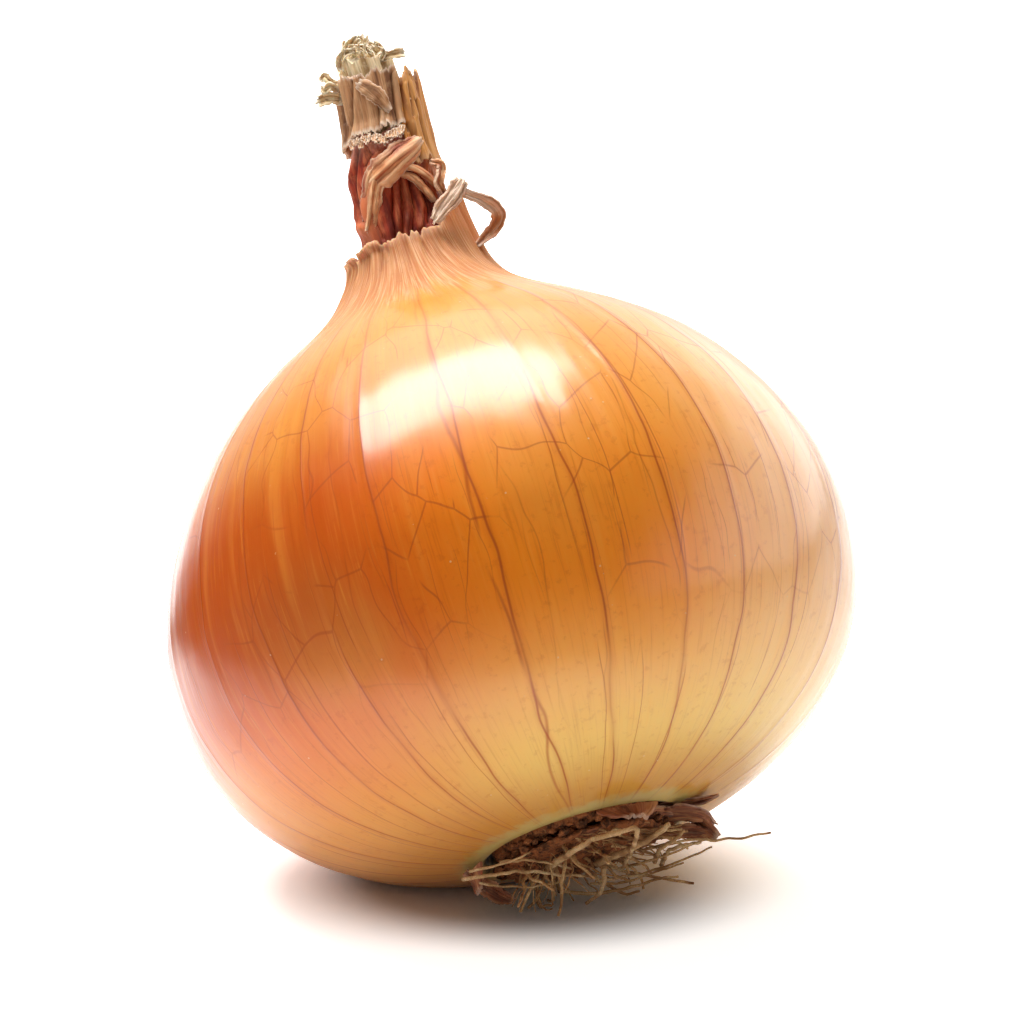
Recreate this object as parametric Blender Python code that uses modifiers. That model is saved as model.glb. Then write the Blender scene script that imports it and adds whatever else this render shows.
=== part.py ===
"""A dry brown onion in its skin, lying on its belly with the withered neck leaning up and back.

The bulb is turned round its own axis, which runs from the root end to the neck. An empty at the
middle of its widest ring carries that axis: it leans the onion over and lifts it until the low
side of the belly, flattened where it lies, is level with the floor at the origin.
"""

import math
import random

import bmesh
import bpy
from mathutils import Matrix, Vector, noise

MM = 0.001
TURN = 2.0 * math.pi

# How the onion lies: its axis leans this far from upright, towards a heading left of straight back
LEAN = math.radians(34.3)
HEADING = math.radians(29.8)
FLAT_DEPTH = 1.5 * MM
FLOOR_GAP = 0.15 * MM

# The bulb, measured from its widest ring along its axis
EQUATOR_RADIUS = 40.0 * MM
CROWN_HEIGHT = 37.9 * MM
CROWN_FULLNESS = 1.78
BASE_DEPTH = 30.7 * MM
BASE_FULLNESS = 2.3
SHOULDER_HEIGHT = 31.5 * MM
CROWN_ROWS = 9
BASE_ROWS = 9
VEIN_COUNT = 24
COLUMN_PLACES = (0.0, 0.09, 0.5, 0.91)
RIB_HEIGHT = 0.2 * MM
SHOULDER_DIP = 1.0 * MM

# The collar, where the outer skin stands torn and pleated round the neck
COLLAR_RADIUS = 7.3 * MM
COLLAR_HEIGHT = 43.2 * MM
COLLAR_WALL = 0.9 * MM
COLLAR_ROWS = 6
PLEAT_DEPTH = 0.3 * MM
PLEATS = 17
SOCKET_FLOOR = 36.6 * MM
TEAR_HEIGHT = 1.1 * MM
COLLAR_TAB_HEIGHT = 3.4 * MM
COLLAR_TAB_AT = math.radians(-22.0)
COLLAR_TAB_HALF_WIDTH = math.radians(34.0)

# The root end: a dimple, the hard stem plate in it and the mat of roots over that
DIMPLE_RADIUS = 12.2 * MM
DIMPLE_FLOOR = -26.2 * MM
PLATE_RADIUS = 10.6 * MM
PLATE_FACE = -29.7 * MM
MAT_RADIUS = 9.4 * MM
MAT_FACE = -31.4 * MM
ROOT_COUNT = 30
ROOT_RADIUS = 0.38 * MM
ROOT_STEPS = 5
ROOT_DRAW = 8
GOLDEN_TURN = 0.381966 * TURN

# Torn scraps of the outer skin that stand on from the rim of the dimple: where round the axis,
# half their width, how long they are and how far they lean out
SCRAPS = {
    "skin_flap_right": (math.radians(14.0), math.radians(22.0), 3.0 * MM, 1.9 * MM),
    "skin_flap_left": (math.radians(-170.0), math.radians(20.0), 2.2 * MM, -0.4 * MM),
    "skin_flap_front": (math.radians(-62.0), math.radians(17.0), 1.8 * MM, 0.9 * MM),
}

# A scrap's tip keeps this share of its width
SCRAP_TIP = 0.3

# Skin that lies or stands against a neighbour keeps this gap
GAP = 0.3 * MM
SKIN = 0.7 * MM

# The dry neck, from the inside out; it bends to the right as it rises
COLLAR_SHIFT = 0.7 * MM
NECK_SHIFT = 2.0 * MM
STUB_RADIUS = 2.7 * MM
STUB_END_RADIUS = 3.1 * MM
STUB_TOP = 66.6 * MM
RED_TOP = 56.8 * MM
RED_RADIUS = 4.8 * MM
RED_WALL = 0.8 * MM
SLEEVE_BOTTOM = 56.5 * MM
SLEEVE_RADIUS = 4.9 * MM
TAN_TOP = 65.4 * MM
GOLDEN_BOTTOM = 54.8 * MM
GOLDEN_TOP = 64.2 * MM
GOLDEN_RADIUS = 5.5 * MM


def lean_frame():
    """The matrix that stands the onion's own axis over as it lies, at the height of its belly."""
    heading = Vector((-math.sin(HEADING), math.cos(HEADING), 0.0))
    axis = heading * math.sin(LEAN) + Vector((0.0, 0.0, math.cos(LEAN)))
    lowest = min(
        (height * math.cos(LEAN) - radius * math.sin(LEAN), radius, height)
        for radius, height in crown_profile(90) + base_profile(90)
    )
    sideways = lowest[2] * math.sin(LEAN) + lowest[1] * math.cos(LEAN)
    centre = heading * -sideways
    centre.z = -lowest[0] - FLAT_DEPTH
    turn = Vector((0.0, 0.0, 1.0)).rotation_difference(axis)
    return Matrix.Translation(centre) @ turn.to_matrix().to_4x4()


def crown_profile(rows):
    """Radius and height down the upper half, from the shoulder to the widest ring."""
    start = math.asin((SHOULDER_HEIGHT / CROWN_HEIGHT) ** (CROWN_FULLNESS / 2.0))
    points = []
    for row in range(rows + 1):
        angle = start * (1.0 - row / rows)
        radius = EQUATOR_RADIUS * math.cos(angle) ** (2.0 / CROWN_FULLNESS)
        points.append((radius, CROWN_HEIGHT * math.sin(angle) ** (2.0 / CROWN_FULLNESS)))
    return points


def base_profile(rows):
    """Radius and height down the lower half, from the widest ring to the rim of the dimple."""
    end = math.acos((DIMPLE_RADIUS / EQUATOR_RADIUS) ** (BASE_FULLNESS / 2.0))
    points = []
    for row in range(1, rows + 1):
        angle = end * row / rows
        radius = EQUATOR_RADIUS * math.cos(angle) ** (2.0 / BASE_FULLNESS)
        points.append((radius, -BASE_DEPTH * math.sin(angle) ** (2.0 / BASE_FULLNESS)))
    return points


def neck_profile(rows):
    """The flare from the torn edge of the collar down to the shoulder, as one cubic curve."""
    top = Vector((COLLAR_RADIUS, COLLAR_HEIGHT))
    bottom = Vector(crown_profile(1)[0])
    neck_handle = top + Vector((1.5, -5.8)) * MM
    shoulder_handle = bottom + Vector((-5.1, 3.2)) * MM
    points = []
    for row in range(rows):
        far = row / rows
        near = 1.0 - far
        point = top * near**3 + neck_handle * (3.0 * near**2 * far)
        point += shoulder_handle * (3.0 * near * far**2) + bottom * far**3
        points.append(tuple(point))
    return points


def bulb_profile():
    """From the socket floor over the collar, down the outside and up into the dimple."""
    inside = COLLAR_RADIUS - COLLAR_WALL
    socket = [
        (0.0, SOCKET_FLOOR),
        (0.6 * inside, SOCKET_FLOOR),
        (inside, SOCKET_FLOOR + 0.4 * MM),
        (inside, COLLAR_HEIGHT - 4.0 * MM),
        (inside + 0.1 * MM, COLLAR_HEIGHT),
    ]
    rim_height = base_profile(1)[0][1]
    dimple = [
        (DIMPLE_RADIUS - 0.9 * MM, rim_height + 0.5 * MM),
        (DIMPLE_RADIUS - 1.2 * MM, rim_height + 1.6 * MM),
        (PLATE_RADIUS + GAP, DIMPLE_FLOOR),
        (0.5 * PLATE_RADIUS, DIMPLE_FLOOR),
        (0.0, DIMPLE_FLOOR),
    ]
    outside = neck_profile(COLLAR_ROWS) + crown_profile(CROWN_ROWS) + base_profile(BASE_ROWS)
    return socket + outside + dimple


def smooth_step(low, high, value):
    share = min(1.0, max(0.0, (value - low) / (high - low)))
    return share * share * (3.0 - 2.0 * share)


def ragged(angle, seed):
    """A torn edge round a ring: -1 to 1, the same again after one turn."""
    spot = Vector((2.2 * math.cos(angle), 2.2 * math.sin(angle), seed))
    return 1.6 * noise.noise(spot) + 0.7 * noise.noise(spot * 3.7)


def polar(angle, radius, height):
    return Vector((radius * math.cos(angle), radius * math.sin(angle), height))


def material(name, colour, roughness):
    made = bpy.data.materials.new(name)
    made.use_nodes = True
    shader = made.node_tree.nodes["Principled BSDF"]
    shader.inputs["Base Color"].default_value = (*colour, 1.0)
    shader.inputs["Roughness"].default_value = roughness
    shader.inputs["Metallic"].default_value = 0.0
    made.diffuse_color = (*colour, 1.0)
    return made


def clear_scene():
    for old in list(bpy.data.objects):
        bpy.data.objects.remove(old, do_unlink=True)


def new_collection(name):
    made = bpy.data.collections.new(name)
    bpy.context.scene.collection.children.link(made)
    return made


def place(name, mesh, group, axis, finish):
    """A named object on the onion's axis, in its collection, with its finish."""
    made = bpy.data.objects.new(name, mesh)
    group.objects.link(made)
    made.parent = axis
    mesh.materials.clear()
    mesh.materials.append(finish)
    mesh.shade_smooth()
    mesh.set_sharp_from_angle(angle=math.radians(40.0))
    return made


def evaluated_mesh(source):
    """The mesh that an object's modifiers make, with its doubles merged; the object is removed."""
    bpy.context.view_layer.update()
    graph = bpy.context.evaluated_depsgraph_get()
    mesh = bpy.data.meshes.new_from_object(source.evaluated_get(graph))
    shape = bmesh.new()
    shape.from_mesh(mesh)
    bmesh.ops.remove_doubles(shape, verts=shape.verts, dist=0.001 * MM)
    shape.to_mesh(mesh)
    shape.free()
    bpy.data.objects.remove(source, do_unlink=True)
    return mesh


def turned(profile, steps):
    """A profile swept once round the axis by a Screw modifier."""
    outline = bpy.data.meshes.new("profile")
    points = [(radius, 0.0, height) for radius, height in profile]
    edges = [(index, index + 1) for index in range(len(points) - 1)]
    outline.from_pydata(points, edges, [])
    source = bpy.data.objects.new("profile", outline)
    bpy.context.scene.collection.objects.link(source)
    screw = source.modifiers.new("turn", "SCREW")
    screw.axis = "Z"
    screw.steps = steps
    screw.render_steps = steps
    screw.use_merge_vertices = True
    screw.merge_threshold = 0.01 * MM
    return evaluated_mesh(source)


def move_points(mesh, rule):
    for vertex in mesh.vertices:
        vertex.co = rule(vertex.co.copy())


def sheet(columns, rows, rule, thickness):
    """A grid laid by rule(across, along), both 0 to 1, and given its thickness by Solidify."""
    mesh = bpy.data.meshes.new("sheet")
    shape = bmesh.new()
    bmesh.ops.create_grid(shape, x_segments=columns, y_segments=rows, size=0.5)
    for vertex in shape.verts:
        vertex.co = rule(vertex.co.x + 0.5, vertex.co.y + 0.5)
    bmesh.ops.triangulate(shape, faces=shape.faces)
    shape.to_mesh(mesh)
    shape.free()
    source = bpy.data.objects.new("sheet", mesh)
    bpy.context.scene.collection.objects.link(source)
    solid = source.modifiers.new("thickness", "SOLIDIFY")
    solid.thickness = thickness
    solid.offset = 0.0
    return evaluated_mesh(source)


def rod(points, radius, tip_share):
    """A round fibre through the points, thinner towards its tip, as a closed mesh."""
    line = bpy.data.curves.new("rod", "CURVE")
    line.dimensions = "3D"
    line.bevel_depth = radius
    line.bevel_resolution = 0
    line.use_fill_caps = True
    spline = line.splines.new("POLY")
    spline.points.add(len(points) - 1)
    for index, point in enumerate(points):
        spline.points[index].co = (*point, 1.0)
        spline.points[index].radius = 1.0 + (tip_share - 1.0) * index / (len(points) - 1)
    source = bpy.data.objects.new("rod", line)
    bpy.context.scene.collection.objects.link(source)
    return evaluated_mesh(source)


def fuse(body_mesh, extra_meshes):
    """One closed mesh from a body and all that grows from it."""
    main = bpy.data.objects.new("fused", body_mesh)
    bpy.context.scene.collection.objects.link(main)
    extras = new_collection("extras")
    extras.hide_render = True
    for mesh in extra_meshes:
        extras.objects.link(bpy.data.objects.new("extra", mesh))
    union = main.modifiers.new("union", "BOOLEAN")
    union.operation = "UNION"
    union.operand_type = "COLLECTION"
    union.collection = extras
    mesh = evaluated_mesh(main)
    for extra in list(extras.objects):
        bpy.data.objects.remove(extra, do_unlink=True)
    bpy.data.collections.remove(extras)
    keep_main_body(mesh)
    return mesh


def island_volume(faces):
    return sum(
        loops[0].vert.co.dot(loops[i].vert.co.cross(loops[i + 1].vert.co)) / 6.0
        for loops in (face.loops for face in faces)
        for i in range(1, len(loops) - 1)
    )


def keep_main_body(mesh):
    """Fills sealed hollows and drops loose scraps, by keeping only the largest closed shell."""
    shape = bmesh.new()
    shape.from_mesh(mesh)
    unseen = set(shape.faces)
    islands = []
    while unseen:
        island = []
        stack = [unseen.pop()]
        while stack:
            face = stack.pop()
            island.append(face)
            for edge in face.edges:
                for other in edge.link_faces:
                    if other in unseen:
                        unseen.remove(other)
                        stack.append(other)
        islands.append(island)
    islands.sort(key=island_volume)
    for island in islands[:-1]:
        bmesh.ops.delete(shape, geom=island, context="FACES")
    loose = [vertex for vertex in shape.verts if not vertex.link_faces]
    bmesh.ops.delete(shape, geom=loose, context="VERTS")
    shape.to_mesh(mesh)
    shape.free()


def vein_angle(number):
    """Where a vein runs round the bulb: nearly even, with each a little off its place."""
    even = number / VEIN_COUNT
    drift = 0.004 * math.sin(TURN * even * 5.0 + 1.3) + 0.0016 * math.sin(TURN * even * 11.0)
    return TURN * (even + drift)


def vein_column(angle):
    """The angle that a turned column moves to, and whether it is a vein's crest."""
    columns = VEIN_COUNT * len(COLUMN_PLACES)
    column = round((angle % TURN) / TURN * columns) % columns
    number, between = divmod(column, len(COLUMN_PLACES))
    start = vein_angle(number)
    end = vein_angle(number + 1)
    return start + (end - start) * COLUMN_PLACES[between], between == 0


def neck_bend(point):
    """Carries a point of the neck to the right, further the higher it is."""
    moved = point.copy()
    moved.x += COLLAR_SHIFT * smooth_step(SHOULDER_HEIGHT, COLLAR_HEIGHT, point.z)
    moved.x += NECK_SHIFT * smooth_step(COLLAR_HEIGHT, STUB_TOP, point.z)
    return moved


def shoulder_dip(angle, height):
    """The right shoulder lies a little lower than the left."""
    band = smooth_step(22.0 * MM, SHOULDER_HEIGHT, height)
    band *= smooth_step(COLLAR_HEIGHT, 36.0 * MM, height)
    return SHOULDER_DIP * band * max(0.0, math.cos(angle - math.radians(20.0)))


def collar_edge(angle):
    """How far the torn edge of the collar stands above or below its mean height."""
    off = math.remainder(angle - COLLAR_TAB_AT, TURN) / COLLAR_TAB_HALF_WIDTH
    tab = COLLAR_TAB_HEIGHT * smooth_step(1.0, 0.5, abs(off))
    return tab + TEAR_HEIGHT * ragged(angle, 4.0)


def bulb_point(point):
    """Moves a point of the turned bulb to its rib, pleat or torn edge."""
    radius = math.hypot(point.x, point.y)
    if radius < 0.1 * MM:
        return point
    angle, crest = vein_column(math.atan2(point.y, point.x))
    height = point.z
    on_skin = smooth_step(DIMPLE_RADIUS + 1.0 * MM, DIMPLE_RADIUS + 9.0 * MM, radius)
    radius += RIB_HEIGHT * on_skin * crest
    in_collar = smooth_step(SOCKET_FLOOR, COLLAR_HEIGHT, height)
    radius += PLEAT_DEPTH * in_collar * math.sin(PLEATS * angle + 0.9 * math.sin(3.0 * angle))
    torn = smooth_step(COLLAR_HEIGHT - 4.2 * MM, COLLAR_HEIGHT, height)
    height += torn * collar_edge(angle) - shoulder_dip(angle, height)
    return neck_bend(polar(angle, radius, height))


def build_bulb(group, cutters, axis):
    mesh = turned(bulb_profile(), VEIN_COUNT * len(COLUMN_PLACES))
    move_points(mesh, bulb_point)
    skin = material("golden_skin", (0.72, 0.34, 0.08), 0.3)
    bulb = place("bulb", mesh, group, axis, skin)
    size = 2.0 * EQUATOR_RADIUS
    bpy.ops.mesh.primitive_cube_add(size=size, location=(0.0, 0.0, -0.5 * size))
    floor = bpy.context.object
    floor.name = "below_the_floor"
    for owner in list(floor.users_collection):
        owner.objects.unlink(floor)
    cutters.objects.link(floor)
    floor.hide_render = True
    floor.display_type = "WIRE"
    cut = bulb.modifiers.new("rest_spot", "BOOLEAN")
    cut.operation = "DIFFERENCE"
    cut.object = floor


def stub_point(point):
    """Dried leaf bases, packed and fluted, leaning a little to the right towards the end."""
    radius = math.hypot(point.x, point.y)
    angle = math.atan2(point.y, point.x)
    along = smooth_step(SOCKET_FLOOR, STUB_TOP, point.z)
    flute = 0.22 * MM * math.sin(7.0 * angle + 4.0 * along) * smooth_step(0.0, STUB_RADIUS, radius)
    widen = (STUB_END_RADIUS / STUB_RADIUS - 1.0) * smooth_step(RED_TOP, STUB_TOP - 4.0 * MM, point.z)
    moved = polar(angle, (radius + flute) * (1.0 + widen), point.z)
    at_top = smooth_step(STUB_TOP - 6.0 * MM, STUB_TOP, point.z)
    moved.z += at_top * (0.9 * MM * ragged(angle, 9.0) + 0.22 * moved.y)
    return neck_bend(moved)


def ribbon(route, width, lift, rows):
    """A flat strip along a route, curved a little across, with its width set across each point."""
    path = [Vector(point) * MM for point in route]

    def rule(across, along):
        place_on = along * (len(path) - 1)
        index = min(int(place_on), len(path) - 2)
        share = place_on - index
        before = path[max(index - 1, 0)]
        start = path[index]
        end = path[index + 1]
        after = path[min(index + 2, len(path) - 1)]
        pull = share * share * (3.0 - 2.0 * share)
        centre = start.lerp(end, share)
        centre += (start - before + start - end) * (0.12 * (1.0 - pull) * share)
        centre += (end - after + end - start) * (0.12 * pull * (1.0 - share))
        side = (end - start).cross(Vector(lift)).normalized()
        narrow = 1.0 - 0.45 * abs(2.0 * along - 1.0) ** 3
        return centre + side * ((across - 0.5) * width * narrow)

    return sheet(3, rows, rule, SKIN)


def tuft_routes():
    """The frayed ends at the tip: some flat ribbons to the right, some curled to the left."""
    return [
        [(2.6, -0.6, 63.0), (4.0, -1.0, 66.2), (5.1, -1.3, 66.9), (6.7, -1.4, 66.4)],
        [(1.6, 0.4, 63.5), (1.8, 0.5, 67.6), (1.3, 0.3, 69.4), (3.4, -0.2, 68.9)],
        [(2.9, 1.3, 63.5), (3.3, 1.6, 67.6), (2.8, 2.0, 69.4), (1.3, 2.4, 69.7)],
        [(0.8, -0.9, 63.2), (0.3, -1.1, 66.9), (-1.8, -1.5, 68.1), (-3.9, -1.8, 66.6), (-4.6, -1.9, 64.4)],
        [(1.0, 1.5, 63.0), (0.4, 2.0, 66.8), (-0.8, 2.8, 68.0), (-2.6, 3.0, 66.9)],
    ]


def build_neck_stub(group, axis):
    """The packed inner leaf bases, from the socket to the frayed tip."""
    bottom = SOCKET_FLOOR + GAP
    profile = [(0.0, STUB_TOP), (0.6 * STUB_RADIUS, STUB_TOP), (STUB_RADIUS, STUB_TOP - 0.5 * MM)]
    rows = 8
    for row in range(1, rows):
        profile.append((STUB_RADIUS, STUB_TOP + (bottom - STUB_TOP) * row / rows))
    profile += [(STUB_RADIUS, bottom), (0.0, bottom)]
    mesh = turned(profile, 22)
    move_points(mesh, stub_point)
    ribbons = [ribbon(route, 1.7 * MM, (0.2, -1.0, 0.3), 9) for route in tuft_routes()]
    straw = material("pale_straw", (0.70, 0.55, 0.28), 0.75)
    place("neck_stub", fuse(mesh, ribbons), group, axis, straw)


def crumple(angle, height):
    """The wrinkles of the red sheath: folds that run up it and twist."""
    up = height / MM
    folds = 0.30 * math.sin(6.0 * angle + 0.35 * up + 1.1 * math.sin(2.0 * angle + 0.3 * up))
    fine = 0.16 * math.sin(11.0 * angle - 0.5 * up)
    buckle = 0.14 * math.sin(1.15 * up + 2.0 * math.sin(angle))
    return (folds + fine + buckle) * MM


def red_point(point):
    radius = math.hypot(point.x, point.y)
    angle = math.atan2(point.y, point.x)
    free = smooth_step(SOCKET_FLOOR + 3.0 * MM, COLLAR_HEIGHT + 3.0 * MM, point.z)
    torn = smooth_step(RED_TOP - 3.5 * MM, RED_TOP, point.z)
    calm = (0.25 + 0.75 * free) * (1.0 - 0.75 * torn)
    moved = polar(angle, radius + calm * crumple(angle, point.z) - 0.9 * MM * torn, point.z)
    moved.z += torn * 0.9 * MM * ragged(angle, 2.0)
    return neck_bend(moved)


def red_flap(across, along):
    """The lighter fold that hangs over the front of the red sheath, and curls out at its foot."""
    angle = math.radians(-112.0 + 54.0 * along - 16.0 * (across - 0.5) * (1.0 - along))
    height = (54.8 - 1.4 * along - (3.6 - 1.6 * along) * across) * MM
    out = 5.15 + 0.75 * math.sin(math.pi * across) + 0.35 * along
    return neck_bend(polar(angle, out * MM, height))


def build_red_sheath(group, axis):
    """The red-brown leaf wrapped and crumpled round the neck, open at its ends."""
    inner = RED_RADIUS - RED_WALL / 2.0
    outer = RED_RADIUS + RED_WALL / 2.0
    bottom = SOCKET_FLOOR + GAP + 0.4 * MM
    rows = 8
    heights = [bottom + (RED_TOP - bottom) * row / rows for row in range(rows + 1)]
    profile = [(inner, height) for height in heights]
    profile += [(outer, height) for height in reversed(heights)]
    profile.append((inner, bottom))
    mesh = turned(profile, 40)
    move_points(mesh, red_point)
    flap = sheet(5, 9, red_flap, SKIN)
    red = material("red_brown_skin", (0.36, 0.10, 0.04), 0.6)
    place("red_sheath", fuse(mesh, [flap]), group, axis, red)


def sleeve(arc_start, arc_end, bottom, top, radius, seed):
    """Part of a torn sleeve round the neck: fluted, with a ragged edge above and below."""

    def rule(across, along):
        angle = math.radians(arc_start + (arc_end - arc_start) * across)
        up = bottom + (top - bottom) * along
        low_edge = smooth_step(0.35, 0.0, along)
        high_edge = smooth_step(0.65, 1.0, along)
        up += (0.8 * low_edge + 1.3 * high_edge) * MM * ragged(angle, seed)
        flute = 0.2 * MM * math.sin(9.0 * angle + 2.0 * along + seed)
        flare = 0.75 * MM * low_edge**2 - 0.3 * MM * high_edge
        return neck_bend(polar(angle, radius + flute + flare, up))

    return rule


def build_sleeves(group, axis):
    """The two upper leaves: the tan one wraps the front and left, the golden one the right."""
    tan = material("tan_skin", (0.45, 0.25, 0.11), 0.75)
    tan_rule = sleeve(-232.0, -62.0, SLEEVE_BOTTOM, TAN_TOP, SLEEVE_RADIUS, 3.0)
    place("tan_sheath", sheet(24, 8, tan_rule, SKIN), group, axis, tan)
    golden = material("golden_fibre", (0.62, 0.36, 0.11), 0.7)
    golden_rule = sleeve(-46.0, 116.0, GOLDEN_BOTTOM, GOLDEN_TOP, GOLDEN_RADIUS, 7.0)
    place("golden_sheath", sheet(22, 8, golden_rule, SKIN), group, axis, golden)


def build_skin_curl(group, axis):
    """The pale shred beside the collar: it bends over to the right and loops down again."""
    route = [
        (5.4, -7.6, 45.0),
        (7.4, -7.4, 46.3),
        (9.5, -6.1, 46.6),
        (11.1, -4.6, 45.2),
        (11.7, -3.6, 43.2),
        (11.0, -3.0, 41.6),
        (10.1, -2.9, 41.1),
    ]
    pale = material("pale_skin", (0.75, 0.55, 0.36), 0.75)
    mesh = ribbon(route, 2.4 * MM, (0.2, -1.0, 0.35), 22)
    place("skin_curl", mesh, group, axis, pale)


def plate_point(point):
    """The crumbly outer face of the stem plate."""
    radius = math.hypot(point.x, point.y)
    angle = math.atan2(point.y, point.x)
    outer_face = smooth_step(PLATE_FACE + 1.0 * MM, PLATE_FACE, point.z)
    lumps = 0.35 * MM * noise.noise(point / (2.0 * MM)) + 0.2 * MM * noise.noise(point / (0.9 * MM))
    moved = point.copy()
    moved.z += outer_face * lumps
    if radius > 0.9 * PLATE_RADIUS:
        moved = polar(angle, radius - 0.25 * MM * (1.0 + math.sin(9.0 * angle)), moved.z)
    return moved


def build_root_plate(group, axis):
    """The hard brown disc that closes the root end."""
    top = DIMPLE_FLOOR - GAP
    profile = [(0.0, top), (0.55 * PLATE_RADIUS, top), (PLATE_RADIUS - 0.6 * MM, top)]
    profile.append((PLATE_RADIUS - 0.2 * MM, 0.5 * (top + PLATE_FACE)))
    profile.append((PLATE_RADIUS - 0.5 * MM, PLATE_FACE))
    rings = 5
    for ring in range(1, rings):
        profile.append((PLATE_RADIUS * (1.0 - ring / rings), PLATE_FACE))
    profile.append((0.0, PLATE_FACE))
    mesh = turned(profile, 36)
    move_points(mesh, plate_point)
    brown = material("root_brown", (0.12, 0.06, 0.03), 0.9)
    place("root_plate", mesh, group, axis, brown)


def mat_point(point):
    """The uneven outer face of the mat."""
    outer_face = smooth_step(PLATE_FACE - 0.6 * MM, MAT_FACE, point.z)
    moved = point.copy()
    moved.z += outer_face * 0.35 * MM * noise.noise(point / (1.7 * MM))
    return moved


def meets_scrap(point):
    """Whether a point of a root has come out as far as a scrap of skin that stands there."""
    angle = math.atan2(point.y, point.x)
    out = math.hypot(point.x, point.y) > DIMPLE_RADIUS - 0.2 * MM
    margin = math.radians(6.0)
    return out and any(
        abs(math.remainder(angle - middle, TURN)) < half_width + margin
        for middle, half_width, _, _ in SCRAPS.values()
    )


def root_route(start, towards, bend, length, frame):
    """One fibre out of the mat, which bends and hangs, but never lies under the floor."""
    inverse = frame.inverted()
    points = []
    for step in range(ROOT_STEPS + 1):
        share = step / ROOT_STEPS
        point = start + towards * (length * share) + bend * (length * share * share)
        in_world = frame @ point
        in_world.z -= 0.14 * length * share * share
        in_world.z = max(in_world.z, ROOT_RADIUS + FLOOR_GAP)
        points.append(inverse @ in_world)
    return points


def root_routes(frame):
    """All the fibres: spread round the mat, lying low over it and swept to the right."""
    draw = random.Random(ROOT_DRAW)
    routes = []
    for number in range(ROOT_COUNT):
        angle = GOLDEN_TURN * number
        start = polar(angle, MAT_RADIUS * (0.2 + 0.65 * draw.random()), MAT_FACE + 0.6 * MM)
        sweep = Vector((draw.uniform(0.1, 1.0), draw.uniform(-0.5, 0.5), 0.0))
        towards = polar(angle, 0.7, -draw.uniform(0.22, 0.5)) + sweep
        towards.normalize()
        bend = Vector((draw.uniform(-0.5, 0.5), draw.uniform(-0.5, 0.5), draw.uniform(-0.1, 0.1)))
        length = draw.uniform(5.0, 9.5) * MM
        route = root_route(start, towards, bend, length, frame)
        while any(meets_scrap(point) for point in route):
            length *= 0.9
            route = root_route(start, towards, bend, length, frame)
        routes.append(route)
    return routes


def build_roots(group, axis, frame):
    """The dry roots, matted together over the plate, with the loose ones standing out."""
    top = PLATE_FACE - 0.95 * MM
    profile = [(0.0, top), (0.6 * MAT_RADIUS, top), (MAT_RADIUS - 0.6 * MM, top)]
    profile += [(MAT_RADIUS, 0.5 * (top + MAT_FACE)), (MAT_RADIUS - 0.9 * MM, MAT_FACE)]
    profile += [(0.6 * MAT_RADIUS, MAT_FACE), (0.0, MAT_FACE)]
    mat = turned(profile, 30)
    move_points(mat, mat_point)
    fibres = [rod(route, ROOT_RADIUS, 0.6) for route in root_routes(frame)]
    long_root = [(3.0, -4.0, -31.0), (8.0, -5.0, -32.6), (13.0, -4.6, -34.6), (17.4, -3.4, -35.2)]
    long_root.append((20.8, -2.6, -35.6))
    fibres.append(rod([Vector(point) * MM for point in long_root], ROOT_RADIUS, 0.5))
    straw = material("root_straw", (0.42, 0.27, 0.13), 0.85)
    place("roots", fuse(mat, fibres), group, axis, straw)


def scrap_rule(middle, half_width, length, lean_out):
    """A pointed scrap of torn skin: across its width, and along from the rim to its tip."""

    def rule(across, along):
        narrow = 1.0 - (1.0 - SCRAP_TIP) * along**1.4
        angle = middle + half_width * (2.0 * across - 1.0) * narrow
        radius = DIMPLE_RADIUS + 1.25 * MM + lean_out * along
        radius += 0.25 * MM * math.sin(7.0 * math.pi * across) * along
        height = base_profile(1)[0][1] - 0.5 * SKIN - GAP - length * along
        return polar(angle, radius, height)

    return rule


def build_skin_flaps(group, axis):
    """Torn scraps of the outer skin round the root end."""
    finish = material("flap_skin", (0.32, 0.14, 0.06), 0.7)
    for name, shape in SCRAPS.items():
        place(name, sheet(5, 4, scrap_rule(*shape), SKIN), group, axis, finish)


def build_onion():
    clear_scene()
    onion = new_collection("onion")
    cutters = new_collection("cutters")
    axis = bpy.data.objects.new("onion_axis", None)
    onion.objects.link(axis)
    frame = lean_frame()
    axis.matrix_world = frame
    build_bulb(onion, cutters, axis)
    build_neck_stub(onion, axis)
    build_red_sheath(onion, axis)
    build_sleeves(onion, axis)
    build_skin_curl(onion, axis)
    build_root_plate(onion, axis)
    build_roots(onion, axis, frame)
    build_skin_flaps(onion, axis)
    bpy.context.view_layer.update()


build_onion()
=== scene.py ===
# %% [markdown]
# # A dry onion, dressed
# The model is one brown onion that lies on its belly, with its withered neck leaning up and back
# and its roots towards the viewer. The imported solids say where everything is. This script keeps
# them as the frame, and lays finer pieces over them: a glossy veined skin, crumpled dry leaves
# round the neck, and a tangle of fibres at the root end.

import math
import random

import bpy
import numpy as np
from mathutils import Matrix, Vector, noise


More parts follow.
